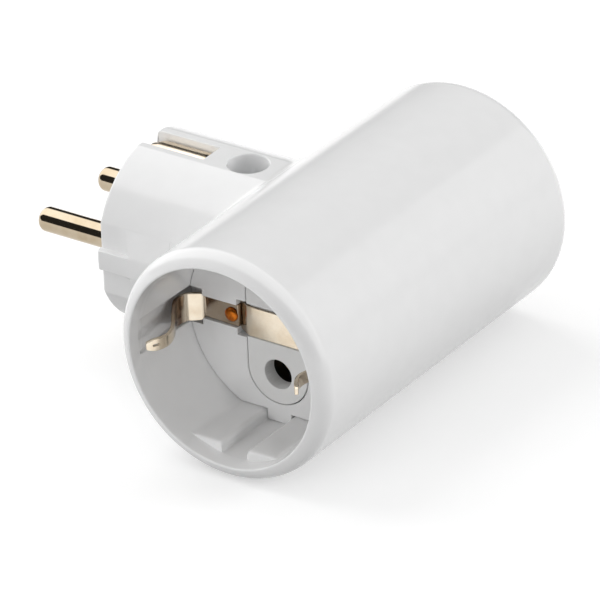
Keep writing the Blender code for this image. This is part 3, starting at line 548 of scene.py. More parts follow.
def spread(corners: Array, count: int) -> Array:
    """Place points evenly along a polyline, and keep its own corners among them.

    Args:
        corners: points of the polyline.
        count: how many points the result has.

    Returns:
        The points, in order of their length along the line.
    """
    corners = np.asarray(corners, float)
    lengths = np.concatenate([[0], np.cumsum(np.linalg.norm(np.diff(corners, axis=0), axis=1))])
    even = np.linspace(0, lengths[-1], count - len(corners) + 2)[1:-1]
    places = np.sort(np.concatenate([lengths, even]))
    return np.stack([np.interp(places, lengths, column) for column in corners.T], axis=-1)


def arc(centre: tuple[float, float], radius: float, start: float, end: float, steps: int) -> Array:
    """Points on a circle from one angle to another, in radians."""
    angles = np.linspace(start, end, steps + 1)
    return np.array(centre) + radius * np.stack([np.cos(angles), np.sin(angles)], axis=-1)


def turned(profile: Array, axis: Axis, centre: tuple[float, float, float], columns: int = 64) -> Grid:
    """Turn a profile of (radius, height) points about an axis.

    A point is the radius times the cosine and sine of the column's angle, with the height along the axis.

    Args:
        profile: the profile's points, which start and end on the axis or form a ring.
        axis: the axis of turning.
        centre: a point that is added to all.
        columns: how many places there are round the axis.

    Returns:
        The closed grid.
    """
    angles = np.linspace(0, math.tau, columns, endpoint=False)
    points = np.zeros((len(profile), columns, 3))
    first, second, along = axis.value
    points[..., first] = profile[:, :1] * np.cos(angles)
    points[..., second] = profile[:, :1] * np.sin(angles)
    points[..., along] = profile[:, 1:]
    closed = bool(profile[0, 0] > 0 and profile[-1, 0] > 0)
    return Grid(points + np.array(centre), closed_rows=closed, closed_columns=True)


def four_fold(quadrant: Array) -> Array:
    """Mirror the points of one quarter into a full loop, counter-clockwise from the first axis.

    Args:
        quadrant: points from the first axis to the second, with both ends on their axes.

    Returns:
        Four times as many points as the quarter has spans.
    """
    return np.concatenate([
        quadrant[:-1],
        (quadrant * (-1, 1))[:0:-1],
        (quadrant * (-1, -1))[:-1],
        (quadrant * (1, -1))[:0:-1],
    ])


def four_times(values: Array) -> Array:
    """Repeat the values of one quarter round the loop, in the order of the points that four_fold makes."""
    return np.concatenate([values[:-1], values[:0:-1], values[:-1], values[:0:-1]])


def block(low: tuple[float, float, float], high: tuple[float, float, float]) -> Grid:
    """A box between two corners: its four upright edges as columns, with a flat cap at either end.

    Args:
        low: the corner with the smallest values.
        high: the corner with the largest values.

    Returns:
        The closed grid.
    """
    loop = np.array([(low[0], low[1]), (high[0], low[1]), (high[0], high[1]), (low[0], high[1])])
    middle = np.repeat(loop.mean(axis=0)[None], 4, axis=0)
    rows = [(middle, low[2]), (loop, low[2]), (loop, high[2]), (middle, high[2])]
    points = np.stack([np.column_stack([flat, np.full(4, level)]) for flat, level in rows])
    return Grid(points, closed_columns=True)


def strip(
    path: Array, across: tuple[float, float, float], half_widths: Array, thickness: float, crown: float = 0.0
) -> Grid:
    """Carry a flat section with rounded edges along a path.

    A section point is the path's point, plus its share of the width across, plus its share of the
    thickness along the path's normal, less the crown times the square of its share of the half width.
    The ends step in by the edge's radius and close on the middle line.

    Args:
        path: points along the strip's middle.
        across: the direction of its width.
        half_widths: half the width at each point.
        thickness: the sheet's thickness.
        crown: how far the section's edges drop below its middle.

    Returns:
        The closed grid.
    """
    side = np.array(across, float)
    runs = np.gradient(path, axis=0)
    runs = runs / np.linalg.norm(runs, axis=1, keepdims=True)
    normals = np.cross(runs, side)
    normals = normals / np.linalg.norm(normals, axis=1, keepdims=True)
    corner = np.linspace(0, QUARTER, STRIP_EDGE_POINTS)
    inner = np.linspace(CROWN_REACH, -CROWN_REACH, CROWN_POINTS if crown else 0)
    first, second, third, fourth = (corner + QUARTER * quarter for quarter in range(4))
    flats = np.full(len(inner), QUARTER)
    angles = np.concatenate([first, flats, second, third, -flats, fourth])
    one = np.ones(len(corner))
    wide = np.concatenate([one, inner, -one, -one, -inner, one])
    thick = np.repeat([1, -1], len(angles) // 2)

    def section(rows: slice | list[int], inset: float, flat: float) -> Array:
        """Sections at some rows, with their outline drawn in.

        Args:
            rows: numbers of the path's points.
            inset: how much smaller the edge's radius is.
            flat: the share of the thickness that is kept.

        Returns:
            The sections' points.
        """
        radius = STRIP_EDGE - inset
        half = half_widths[rows][:, None]
        width = wide * (half - STRIP_EDGE) + radius * np.cos(angles)
        level = (thick * (thickness / 2 - STRIP_EDGE) + radius * np.sin(angles)) * flat
        level = level - crown * (width / half) ** 2
        return path[rows][:, None] + width[..., None] * side + level[..., None] * normals[rows][:, None]

    step = STRIP_EDGE * STRIP_END_SHARE
    body = section(slice(None), 0.0, 1.0)
    body[0] += runs[0] * STRIP_EDGE
    body[-1] -= runs[-1] * STRIP_EDGE
    first = [section([0], step, 0.0), section([0], step, 1.0)]
    last = [section([-1], step, 1.0), section([-1], step, 0.0)]
    return Grid(np.concatenate([*first, body, *last]), closed_columns=True)


@dataclass
class TubeShell:
    """The cross tube of the casing with its lips and both recesses."""

    axis: float
    radius: float = 22.6
    end: float = 41.3
    lip_rounding: float = 3.6
    lip_edge: float = 0.3
    mouth_radius: float = 19.65
    floor_radius: float = 19.3
    core_radius: float = 18.6
    seat: float = 19.8
    floor_front: float = 23.1
    pad_offset: float = 17.35
    pad_blend: float = 3.0
    pad_corner: float = 0.85
    groove_half: float = 2.75
    groove_offset: float = 19.55
    pad_end: float = 37.6
    channel_floor: float = 21.0
    channel_mouth: float = 20.0
    channel_half: float = 3.5
    channel_end: float = 38.5
    channel_fade: Pairs = ((0.3, 1.0), (0.1, 0.94), (0.0, 0.8), (0.0, 0.0))
    corner: float = 0.3
    wall_steps: int = 22
    wall_middle: float = 30.0
    pad_margin: float = 0.3
    pad_corner_rows: int = 6
    edge_steps: int = 6
    lip_steps: int = 18
    skin_end: float = 36.0
    skin_rows: int = 73

    @property
    def edge_height(self) -> float:
        """Where the mouth's wall meets the arc of the lip's inner edge.

        Returns:
            The distance from the tube's centre.
        """
        reach = self.lip_rounding - self.lip_edge
        inset = self.mouth_radius + self.lip_edge - (self.radius - self.lip_rounding)
        return self.end - self.lip_rounding + math.sqrt(reach**2 - inset**2)

    def wall(self, height: float) -> float:
        """The radius of the recess's wall, which grows evenly from the socket's floor to the lip's edge."""
        levels = [self.floor_front, self.edge_height]
        return float(np.interp(height, levels, [self.floor_radius, self.mouth_radius]))

    def quadrant(self, height: float) -> Array:
        """A quarter of the recess's outline, from the channel's bottom to the groove's bottom.

        Args:
            height: the distance from the tube's centre, which sets the wall's radius.

        Returns:
            Points (x, z), counter-clockwise.
        """
        wall = self.wall(height)
        low = math.asin(self.channel_half / wall)
        high = math.asin(self.pad_offset / wall)
        curve = [tuple(point) for point in arc((0, 0), wall, low, high, self.wall_steps)]
        channel = float(np.interp(
            height, [self.floor_front, self.channel_end], [self.channel_floor, self.channel_mouth]
        ))
        corners = [
            (channel, 0),
            (channel, self.channel_half),
            *curve,
            (self.groove_half, self.pad_offset),
            (self.groove_half, self.groove_offset),
            (0, self.groove_offset),
        ]
        along_wall = [0] * (self.wall_steps - 1)
        radii = [0, self.corner, self.corner, *along_wall, self.pad_blend, self.pad_corner, self.corner, 0]
        return rounded(corners, radii)

    def ring(self, height: float, pads: float, channels: float) -> Array:
        """The recess's outline at a height, with only a share of its pads and channels on the plain wall.

        Args:
            height: the distance from the tube's centre.
            pads: share of the pads' full form.
            channels: share of the channels' full form.

        Returns:
            Points (x, z) of the full loop.
        """
        full = self.quadrant(height)
        plain = full / np.linalg.norm(full, axis=1, keepdims=True) * self.wall(height)
        angles = np.arctan2(full[:, 1], full[:, 0])
        share = np.where(angles < QUARTER / 2, channels, pads)[:, None]
        return four_fold(plain + share * (full - plain))

    def circle(self, radius: float, count: int) -> Array:
        """A plain circle with a number of even columns, as points (x, z)."""
        angles = np.linspace(0, math.tau, count, endpoint=False)
        return radius * np.stack([np.cos(angles), np.sin(angles)], axis=-1)

    def grid(self) -> Grid:
        """One closed loft: recess wall, lip and skin from one end to the other, and back through the core.

        Each pair of channel_fade is a distance from the channel's end and the share of its form there.

        Returns:
            The closed grid.
        """
        end = self.pad_end
        stop = self.channel_end
        pad_rise = self.mouth_radius - self.pad_offset
        front = self.pad_corner
        full_heights = (self.seat, self.floor_front, self.wall_middle, end - front - self.pad_margin)
        rows = [(height, self.ring(height, 1, 1)) for height in full_heights]
        for turn in np.linspace(0, QUARTER, self.pad_corner_rows):
            share = 1 - front * (1 - math.cos(turn)) / pad_rise
            rows.append((end - front * (1 - math.sin(turn)), self.ring(end, share, 1)))
        rows.append((end, self.ring(end, 0, 1)))
        rows += [(stop - back, self.ring(stop, 0, share)) for back, share in self.channel_fade]
        count = len(rows[0][1])
        core = self.circle(self.core_radius, count)
        core_ring = np.linalg.norm(core, axis=1, keepdims=True)
        direction = rows[0][1] / np.linalg.norm(rows[0][1], axis=1, keepdims=True)
        rows.insert(0, (self.seat, direction * core_ring))
        lip_r = self.radius - self.lip_rounding
        lip_h = self.end - self.lip_rounding
        edge_r = self.mouth_radius + self.lip_edge
        meeting = math.atan2(self.edge_height - lip_h, edge_r - lip_r)
        edge = arc((edge_r, self.edge_height), self.lip_edge, math.pi, meeting, self.edge_steps)
        lip = arc((lip_r, lip_h), self.lip_rounding, meeting, 0, self.lip_steps)
        for radius, height in np.concatenate([edge, lip[1:]]):
            rows.append((height, self.circle(radius, count)))
        heights = np.linspace(self.skin_end, -self.skin_end, self.skin_rows)
        skin = [(height, self.circle(self.radius, count)) for height in heights]
        near = [(-height, ring) for height, ring in rows]
        far = [(height, ring) for height, ring in reversed(rows)]
        sections = near + [(-height, ring) for height, ring in skin] + far
        points = np.stack([
            np.column_stack([ring[:, 0] + self.axis, np.full(count, height), ring[:, 1]])
            for height, ring in sections
        ])
        return Grid(points, closed_rows=True, closed_columns=True)


@dataclass
class PlugNeck:
    """The plug's round body: flats, key ribs, earth grooves, the land at its root and the seam fillet."""

    tube: TubeShell
    radius: float = 18.2
    flat: float = 17.7
    face_rounding: float = 0.6
    rib_half: float = 2.0
    side_flat: float = 16.8
    side_flat_end: float = 5.8
    side_flat_ramp: float = 1.5
    groove_half: float = 2.65
    groove_floor: float = 15.25
    slot_floor: float = 12.9
    slot_start: float = 12.7
    groove_end: float = 14.1
    land_start: float = 16.0
    land_height: float = 0.25
    land_half: float = 8.6
    land_fade: float = 3.0
    fillet: float = 1.1
    buried: float = 1.3
    buried_shares: tuple[float, ...] = (1.0, 0.6, 0.3, 0.0)
    corner: float = 0.2
    corner_room: float = 1.1
    flat_edge: float = 0.15
    flat_margin: float = 0.25
    face_share: float = 0.5
    face_steps: int = 6
    groove_rows: tuple[float, ...] = (2.0, 4.0)
    land_edge: float = 0.12
    land_margin: float = 0.6
    land_rows: int = 12
    land_steps: int = 4
    fillet_rows: int = 6
    edge_step: float = math.radians(0.5)
    arc_steps: int = 40
    groove_steps: int = 10

    def quadrant(self) -> tuple[Array, Array, Array]:
        """A quarter of the outline in its full form and in its plain one.

        Returns:
            Full points (y, z), plain points (y, z), and the value of the NeckPart that each belongs to.
            The rib is in SIDE, and the top's flat is in ROUND.
        """
        rib = math.sqrt(self.radius**2 - self.rib_half**2)
        flat_top = math.sqrt(self.radius**2 - self.side_flat**2)
        side = rounded(
            [(self.radius, 0), (rib, self.rib_half), (self.side_flat, self.rib_half),
             (self.side_flat, flat_top)],
            [0, self.corner, self.corner, 0],
        )
        low = math.asin(flat_top / self.radius)
        high = math.asin(self.flat / self.radius)
        step = self.edge_step / 2
        land = math.asin(self.land_half / self.radius)
        angles = np.concatenate([
            np.linspace(low, land, self.land_steps)[1:-1],
            [land - step, land + step],
            np.linspace(land, high, self.arc_steps)[1:-1],
            [high - step, high],
        ])
        curve = self.radius * np.stack([np.cos(angles), np.sin(angles)], axis=-1)
        edge = curve[-1, 0]
        places = (edge - self.flat_edge, (edge + self.groove_half) / 2, self.groove_half + self.flat_margin)
        flat = np.array([(y, self.flat) for y in places])
        groove = rounded(
            [(self.groove_half + self.corner * self.corner_room, self.flat), (self.groove_half, self.flat),
             (self.groove_half, self.groove_floor), (0, self.groove_floor)],
            [0, self.corner, self.corner, 0],
        )
        groove = spread(groove, len(groove) + self.groove_steps)
        side_plain = side / np.linalg.norm(side, axis=1, keepdims=True) * self.radius
        groove_plain = np.stack(
            [np.linspace(groove[0, 0], 0, len(groove)), np.full(len(groove), self.flat)], axis=-1
        )
        full = np.concatenate([side, curve, flat, groove])
        plain = np.concatenate([side_plain, curve, flat, groove_plain])
        counts = [len(side), len(curve) + len(flat), len(groove)]
        part = np.repeat([each.value for each in NeckPart], counts)
        return full, plain, part

    def grid(self) -> Grid:
        """One closed loft along X, from the centre of the face to the centre of the buried end.

        Returns:
            The closed grid.
        """
        full, plain, part = self.quadrant()
        is_side = (part == NeckPart.SIDE.value)[:, None]
        is_groove = (part == NeckPart.GROOVE.value)[:, None]
        on_land = np.clip((self.land_half - plain[:, 1]) / self.land_fade, 0, 1)[:, None]
        depth = self.flat - self.groove_floor

        def outline(side: float, groove: float, land: float = 0.0, inset: float = 0.0) -> Array:
            """The quarter with shares of its features.

            Args:
                side: share of the rib's and the side flat's full form.
                groove: share of the groove's depth, which may be more than one.
                land: height of the land over the skin.
                inset: how far the outline is drawn in.

            Returns:
                Points (y, z).
            """
            line = plain + np.where(is_side, side, 0) * (full - plain)
            deep = full.copy()
            level = self.flat - (self.flat - full[:, 1]) * max(groove, 1)
            deep[:, 1] = np.where(is_groove[:, 0], level, full[:, 1])
            line = line + np.where(is_groove, min(groove, 1), 0) * (deep - plain)
            scale = 1 + (on_land * land - inset) / self.radius
            return line * scale

        rounding = arc((0, self.face_rounding), self.face_rounding, -QUARTER, 0, self.face_steps)
        rows = [(0.0, plain * 0.0), (0.0, outline(1, 1, inset=self.face_rounding) * self.face_share)]
        rows += [(x, outline(1, 1, inset=self.face_rounding - out)) for out, x in rounding]
        deeper = (self.flat - self.slot_floor) / depth
        ramp_end = self.side_flat_end + self.side_flat_ramp
        root = outline(0, 0, self.land_height)
        rows += [(x, outline(1, 1)) for x in (*self.groove_rows, self.side_flat_end)]
        rows += [(ramp_end, outline(0, 1)), (self.slot_start, outline(0, 1))]
        rows += [(self.slot_start, outline(0, deeper)), (self.groove_end, outline(0, deeper))]
        rows += [(self.groove_end, outline(0, 0)), (self.land_start - self.land_edge, outline(0, 0))]
        rows += [(self.land_start, root)]
        lines = [np.column_stack([np.full(len(line), x), line]) for x, line in rows]

        def skin(line: Array, sink: float = 0.0) -> Array:
            """Where lines along X from these (y, z) points meet the tube's skin, or a sunk copy of it."""
            radius = self.tube.radius - sink
            return self.tube.axis - np.sqrt(radius**2 - np.clip(line[:, 1], -radius, radius) ** 2)

        start = self.land_start + self.land_margin
        stop = skin(root) - self.fillet
        for share in np.linspace(0, 1, self.land_rows):
            lines.append(np.column_stack([start + (stop - start) * share, root]))
        for angle in np.linspace(0, QUARTER, self.fillet_rows)[1:]:
            out = self.fillet * (1 - math.cos(angle))
            line = root * (1 + out / self.radius)
            back = self.fillet * (1 - math.sin(angle))
            lines.append(np.column_stack([skin(line) - back, line]))
        last = root * (1 + self.fillet / self.radius)
        for share in self.buried_shares:
            line = last * share
            lines.append(np.column_stack([skin(line, self.buried), line]))
        loops = [np.column_stack([four_times(line[:, 0]), four_fold(line[:, 1:])]) for line in lines]
        return Grid(np.stack(loops), closed_columns=True)


@dataclass
class Casing:
    """The T-shaped casing as one moulding: tube and neck joined, then bored and given its screw wells."""

    tube: TubeShell
    well_axis: float = 22.2
    well_radius: float = 4.0
    well_floor: float = 8.7
    boss_radius: float = 5.2
    boss_end: float = 6.5
    bore_radius: float = 13.5
    seat_radius: float = 14.5
    seat_depth: float = 3.0
    screw_hole: float = 1.6
    flat: float = 17.7
    well_taper: float = 0.1
    well_mouth: Pairs = ((-0.08, 0.3), (-0.02, 0.12), (0.1, 0.0), (0.1, -OVERRUN))
    bore_columns: int = 96
    boss_columns: int = 48
    well_columns: int = 72

    def cutter(self) -> Solid:
        """The space inside the neck: the bore less the bosses, with both wells and their screw holes.

        Each pair of well_mouth is how much wider the well is there, and the depth below the flat.

        Returns:
            The cutting solid.
        """
        inner = self.tube.axis - self.tube.core_radius / 2
        bore = np.array([
            (0, -OVERRUN), (self.seat_radius, -OVERRUN), (self.seat_radius, self.seat_depth),
            (self.bore_radius, self.seat_depth), (self.bore_radius, inner), (0, inner),
        ])
        space = working_solid([turned(bore, Axis.X, (0, 0, 0), self.bore_columns)])
        top = self.flat
        mouth = [(self.well_radius + wider, top - depth) for wider, depth in self.well_mouth]
        boss = np.array([
            (0, self.boss_end), (self.boss_radius, self.boss_end), (self.boss_radius, top), (0, top)
        ])
        well = np.array([
            (0, 0), (self.screw_hole, 0), (self.screw_hole, self.well_floor),
            (self.well_radius - self.well_taper, self.well_floor), *mouth, (0, top + OVERRUN),
        ])
        for profile, columns, work in (
            (boss, self.boss_columns, Work.CUT), (well, self.well_columns, Work.JOIN)
        ):
            for sign in (-1, 1):
                placed = turned(profile * (1, sign), Axis.Z, (self.well_axis, 0, 0), columns)
                combine(space, working_solid([placed]), work)
        return space

    def build(self, material: Material) -> Solid:
        """Join the tube and the neck, cut the space inside, and dress the result.

        Args:
            material: the casing's finish.

        Returns:
            The piece.
        """
        casing = working_solid([self.tube.grid()])
        combine(casing, working_solid([PlugNeck(self.tube).grid()]), Work.JOIN)
        combine(casing, self.cutter(), Work.CUT)
        return finish_piece(casing, "casing_moulding", material, ("casing",))


@dataclass
class PlugFace:
    """What the plug's neck carries: the insert, both pins, the earth bow and the screws."""

    pin_offset: float = 9.5
    pin_radius: float = 2.4
    pin_length: float = 19.0
    pin_tip: float = 1.8
    pin_rear: float = 15.1
    flange_radius: float = 14.2
    flange_depth: float = 2.7
    body_radius: float = 13.2
    insert_rear: float = 15.0
    tongue_half: float = 5.5
    tongue_level: float = 6.2
    tongue_end: float = 27.0
    bow_level: float = 16.4
    bow_web: float = 13.4
    bow_half: float = 2.35
    bow_thickness: float = 0.8
    bow_crown: float = 0.55
    bow_bend: float = 1.2
    nose: float = 0.6
    nose_length: float = 1.6
    nose_drop: float = 0.5
    screw_axis: float = 22.2
    screw_seat: float = 9.0
    screw_head: float = 3.3
    screw_rise: float = 2.2
    screw_slot: float = 0.4
    screw_slot_depth: float = 0.9
    screw_shank: float = 1.3
    screw_tip: float = 1.4
    screw_point: float = 0.4
    insert_corners: tuple[float, ...] = (0, 0.4, 0.1, 0, 0.3, 0)
    pin_stations: Pairs = ((0.0, -9.0), (0.0, -0.5), (0.08, -0.35), (0.08, 0.4), (0.0, 0.6))
    pin_tip_points: int = 14
    nose_bend: float = 1.0
    nose_taper: float = 0.5
    nose_taper_run: float = 0.9
    lobe_root: float = 0.1
    lobe_levels: Pairs = ((0.35, 1.0), (0.1, 0.965), (0.0, 0.9), (0.0, 0.0))
    lobe_steps: int = 30
    lobe_columns: int = 44
    insert_columns: int = 96
    pin_columns: int = 64
    screw_columns: int = 48

    def insert(self) -> list[Grid]:
        """The turned disc that closes the neck, and the tongue that the screws go into.

        Returns:
            Closed grids that overlap.
        """
        profile = rounded(
            [(0, 0), (self.flange_radius, 0), (self.flange_radius, self.flange_depth),
             (self.body_radius, self.flange_depth), (self.body_radius, self.insert_rear),
             (0, self.insert_rear)],
            list(self.insert_corners),
        )
        tongue = block(
            (self.insert_rear - OVERRUN, -self.tongue_half, -self.tongue_level),
            (self.tongue_end, self.tongue_half, self.tongue_level),
        )
        return [turned(profile, Axis.X, (0, 0, 0), self.insert_columns), tongue]

    def pin(self, side: Side) -> Grid:
        """A turned pin: a quarter ellipse at the tip, a straight shank and a fine ring where it enters.

        Each pair of pin_stations is how far the shank is drawn in, and its place along X.

        Args:
            side: the pin's side of the plug's face.

        Returns:
            The closed grid.
        """
        turn = np.linspace(0, QUARTER, self.pin_tip_points)
        tip = np.stack([
            self.pin_radius * np.sin(turn), -self.pin_length + self.pin_tip * (1 - np.cos(turn))
        ], axis=-1)
        shank = [(self.pin_radius - inset, x) for inset, x in self.pin_stations]
        rear = [(self.pin_radius, self.pin_rear), (0, self.pin_rear)]
        profile = np.concatenate([tip, shank, rear])
        return turned(profile, Axis.X, (0, side.value * self.pin_offset, 0), self.pin_columns)

    def bow(self) -> Grid:
        """The earth bow: a strip with round bends, from one flat's contact round to the other's.

        Its half width falls off towards the nose by the square of the distance into the taper.

        Returns:
            The closed grid.
        """
        start = self.nose + self.nose_length
        corners = [
            (self.nose, self.bow_level - self.nose_drop), (start, self.bow_level),
            (self.bow_web, self.bow_level), (self.bow_web, -self.bow_level),
            (start, -self.bow_level), (self.nose, self.nose_drop - self.bow_level),
        ]
        radii = [0, self.nose_bend, self.bow_bend, self.bow_bend, self.nose_bend, 0]
        line = rounded(corners, radii, BEND_STEPS)
        path = np.stack([line[:, 0], np.zeros(len(line)), line[:, 1]], axis=-1)
        from_nose = (path[:, 0] - self.nose) / self.nose_taper_run
        half = self.bow_half - self.nose_taper * np.clip(1 - from_nose, 0, 1) ** 2
        return strip(path, (0, 1, 0), half, self.bow_thickness, self.bow_crown)

    def screw(self, sign: float) -> list[Grid]:
        """A slotted screw: a turned shank and seat, and two lobes that leave the slot between them.

        Each pair of lobe_levels is a depth below the head's top, and the share of the lobe's outline there.

        Args:
            sign: one for the top screw, minus one for the bottom one.

        Returns:
            Closed grids that overlap.
        """
        top = self.screw_seat + self.screw_rise
        floor = top - self.screw_slot_depth
        point = self.screw_shank - self.screw_point
        shank = np.array([
            (0, self.screw_tip), (point, self.screw_tip),
            (self.screw_shank, self.screw_tip + self.screw_point), (self.screw_shank, self.screw_seat),
            (self.screw_head, self.screw_seat), (self.screw_head, floor), (0, floor),
        ])
        grids = [turned(shank * (1, sign), Axis.Z, (self.screw_axis, 0, 0), self.screw_columns)]
        levels = [(floor - self.lobe_root, 0.0), (floor - self.lobe_root, 1.0)]
        levels += [(top - depth, share) for depth, share in self.lobe_levels]
        start = math.asin(self.screw_slot / self.screw_head)
        for half in (-1, 1):
            lobe = arc((0, 0), self.screw_head, start, math.pi - start, self.lobe_steps)
            lobe = spread(np.concatenate([lobe, lobe[:1]]), self.lobe_columns)[:-1] * (1, half)
            middle = lobe.mean(axis=0)
            place = middle + (self.screw_axis, 0)
            rows = [
                np.column_stack([place + (lobe - middle) * share, np.full(len(lobe), level * sign)])
                for level, share in levels
            ]
            grids.append(Grid(np.stack(rows), closed_columns=True))
        return grids

    def build(self, white: Material, metal: Material, turned_metal: Material, zinc: Material) -> None:
        """Build and dress the insert, pins, bow and screws.

        Args:
            white: finish of the insert.
            metal: finish of the bow.
            turned_metal: finish of the pins.
            zinc: finish of the screws.
        """
        finish_piece(fused(self.insert()), "insert_disc", white, ("plug_insert",))
        for side in Side:
            name = side.label + "_plug_pin"
            solid = working_solid([self.pin(side)])
            finish_piece(solid, side.label + "_pin_turned", turned_metal, (name,))
        solid = working_solid([self.bow()])
        finish_piece(solid, "earth_bow_strip", metal, ("plug_earth_bow",))
        for label, sign in (("top", 1.0), ("bottom", -1.0)):
            solid = fused(self.screw(sign))
            finish_piece(solid, label + "_screw_slotted", zinc, (label + "_screw",))


@dataclass
class Socket:
    """One socket: floor disc, contact carrier, earth strap, clips and rivets."""

    side: Side
    axis: float
    front: float = 23.1
    rear: float = 20.1
    foot_bed: float = 21.2
    strap_bed: float = 22.6
    disc_radius: float = 19.2
    pad_reach: float = 17.25
    key_half: float = 2.65
    key_reach: float = 19.45
    carrier_half: float = 6.45
    carrier_end: float = 9.0
    window_gap: float = 0.2
    notch_reach: float = 8.7
    notch_half: float = 3.65
    foot_half: float = 2.35
    pocket_start: float = 16.2
    hole_offset: float = 9.5
    hole_radius: float = 2.9
    hole_end: float = 20.1
    chamber_radius: float = 3.35
    flange_front: float = 19.8
    flange_rear: float = 18.3
    flange_rim: float = 1.15
    carrier_rear: float = 3.1
    bed_half: float = 3.3
    shoulder: float = 5.9
    strap_level: float = 23.05
    tab_level: float = 21.65
    strap_half: float = 3.0
    strap_step: float = 5.9
    strap_foot: float = 8.4
    strap_neck: float = 8.7
    strap_bend: float = 0.8
    strap_brow: float = 3.0
    tab_half: float = 2.05
    tab_end: float = 12.1
    sheet: float = 0.5
    foot_level: float = 22.35
    clip_sheet: float = 0.7
    clip_foot: float = 8.6
    clip_foot_half: float = 2.25
    clip_bend: float = 15.2
    slot_place: tuple[float, float] = (15.3, 39.1)
    slot_way: tuple[float, float] = (0.41, 0.91)
    slot_half_length: float = 0.75
    slot_half_width: float = 0.25
    rivet_offset: float = 10.0
    rivet_head: float = 1.4
    rivet_shank: float = 0.8
    rivet_gap: float = 0.02
    rivet_rise: float = 0.65
    rivet_rim: float = 0.15
    rivet_tail: float = 0.6
    edge: float = 0.12
    hole_edge: Pairs = ((0.0, 0.25), (0.08, 0.08), (0.25, 0.0))
    tab_taper: float = 0.5
    tab_taper_run: float = 0.8
    slot_reach: float = 1.2
    slot_steps: int = 6
    foot_points: int = 6
    span_points: int = 9
    dome_points: int = 9
    rivet_columns: int = 36
    lane_points: int = 4
    ledge_points: int = 3
    disc_steps: int = 24
    disc_columns: int = 56
    carrier_steps: int = 32
    carrier_columns: int = 80
    strap_points: int = 30

    clip_stations = (
        (15.9, 22.40, 2.05),
        (16.5, 22.90, 2.70),
        (17.5, 23.70, 2.80),
        (18.6, 24.50, 2.80),
        (19.1, 25.90, 2.80),
        (18.9, 27.90, 2.65),
        (17.5, 30.40, 1.95),
        (15.7, 33.10, 1.20),
        (14.7, 35.60, 1.15),
        (14.7, 37.60, 1.20),
        (15.5, 39.40, 1.15),
        (16.4, 40.50, 0.75),
    )

    def placed(self, flat: Array, height: Array | float) -> Array:
        """Points from (x, z) about the tube's axis and a height along it, on this socket's side."""
        height = np.broadcast_to(height, flat.shape[:-1])
        return np.stack([flat[..., 0] + self.axis, self.side.value * height, flat[..., 1]], axis=-1)

    def floor(self) -> Grid:
        """The keyed disc: a ring round the carrier's window, with the strips' channels sunk into it.

        Returns:
            The closed grid.
        """
        gap = self.carrier_half + self.window_gap
        low = np.linspace(0, self.foot_half, self.lane_points)
        mid = np.linspace(self.foot_half, self.notch_half, self.ledge_points)
        lanes = np.concatenate([low, mid])
        lane_inner = np.stack([np.full(len(lanes), self.notch_reach), lanes], axis=-1)
        lane_outer = np.stack([np.sqrt(self.disc_radius**2 - lanes**2), lanes], axis=-1)
        window = np.concatenate([
            [(self.notch_reach, self.notch_half), (gap, self.notch_half)],
            arc((0, self.carrier_end), gap, 0, QUARTER, self.disc_steps),
        ])
        start = math.asin(self.notch_half / self.disc_radius)
        stop = math.asin(self.pad_reach / self.disc_radius)
        outline = np.concatenate([
            arc((0, 0), self.disc_radius, start, stop, self.disc_steps),
            [(self.key_half, self.pad_reach), (self.key_half, self.key_reach), (0, self.key_reach)],
        ])
        inner = np.concatenate([lane_inner, spread(window, self.disc_columns)])
        outer = np.concatenate([lane_outer, spread(outline, self.disc_columns)])
        share = (self.pocket_start - self.notch_reach) / (lane_outer[-1, 0] - self.notch_reach)
        middle = inner + (outer - inner) * share
        middle[:len(lanes), 0] = self.pocket_start
        inner_level = np.full(len(inner), self.front)
        inner_level[:len(low)] = self.foot_bed
        outer_level = np.full(len(inner), self.front)
        outer_level[:len(lanes)] = self.foot_bed
        run = outer - inner
        run = run / np.linalg.norm(run, axis=1, keepdims=True) * self.edge
        rear = np.full(len(inner), self.rear)
        rows = [
            (inner, rear), (inner, inner_level - self.edge), (inner + run, inner_level),
            (middle, inner_level), (middle, outer_level),
            (outer - run, outer_level), (outer, outer_level - self.edge), (outer, rear),
        ]
        loops = [self.placed(four_fold(flat), four_times(level)) for flat, level in rows]
        return Grid(np.stack(loops), closed_rows=True, closed_columns=True)

    def carrier(self) -> list[Grid]:
        """The stadium-shaped block: two ends with a pin hole each, and the strap's bed between them.

        Each pair of hole_edge is how much wider the hole is there, and the depth below its front.

        Returns:
            Closed grids.
        """
        half = self.carrier_half
        loop = np.concatenate([
            [(half, self.bed_half)], arc((0, self.carrier_end), half, 0, math.pi, self.carrier_steps),
            [(-half, self.bed_half), (half, self.bed_half)],
        ])
        outline = spread(loop, self.carrier_columns)[:-1]
        centre = np.array([0, self.hole_offset])
        away = outline - centre
        away = away / np.linalg.norm(away, axis=1, keepdims=True)
        hole = centre + away * self.hole_radius
        chamber = centre + away * self.chamber_radius
        flange = outline + away * self.flange_rim
        rows = [
            (hole, self.hole_end),
            *[(hole + away * wider, self.front - down) for wider, down in self.hole_edge],
            (outline - away * self.edge, self.front), (outline, self.front - self.edge),
            (outline, self.flange_front), (flange, self.flange_front), (flange, self.flange_rear),
            (outline, self.flange_rear), (outline, self.carrier_rear), (chamber, self.carrier_rear),
            (chamber, self.hole_end),
        ]
        grids = []
        for sign in (-1, 1):
            points = np.stack([self.placed(flat * (1, sign), level) for flat, level in rows])
            grids.append(Grid(points, closed_rows=True, closed_columns=True))
        rim = half + self.flange_rim
        right = np.array([
            (self.shoulder, self.strap_bed), (self.shoulder, self.foot_bed), (half, self.foot_bed),
            (half, self.flange_front), (rim, self.flange_front), (rim, self.flange_rear),
            (half, self.flange_rear), (half, self.carrier_rear),
        ])
        profile = np.concatenate([right, (right * (-1, 1))[::-1]])
        middle = profile * (0, 1)
        reach = self.bed_half + self.edge
        sections = [(middle, -reach), (profile, -reach), (profile, reach), (middle, reach)]
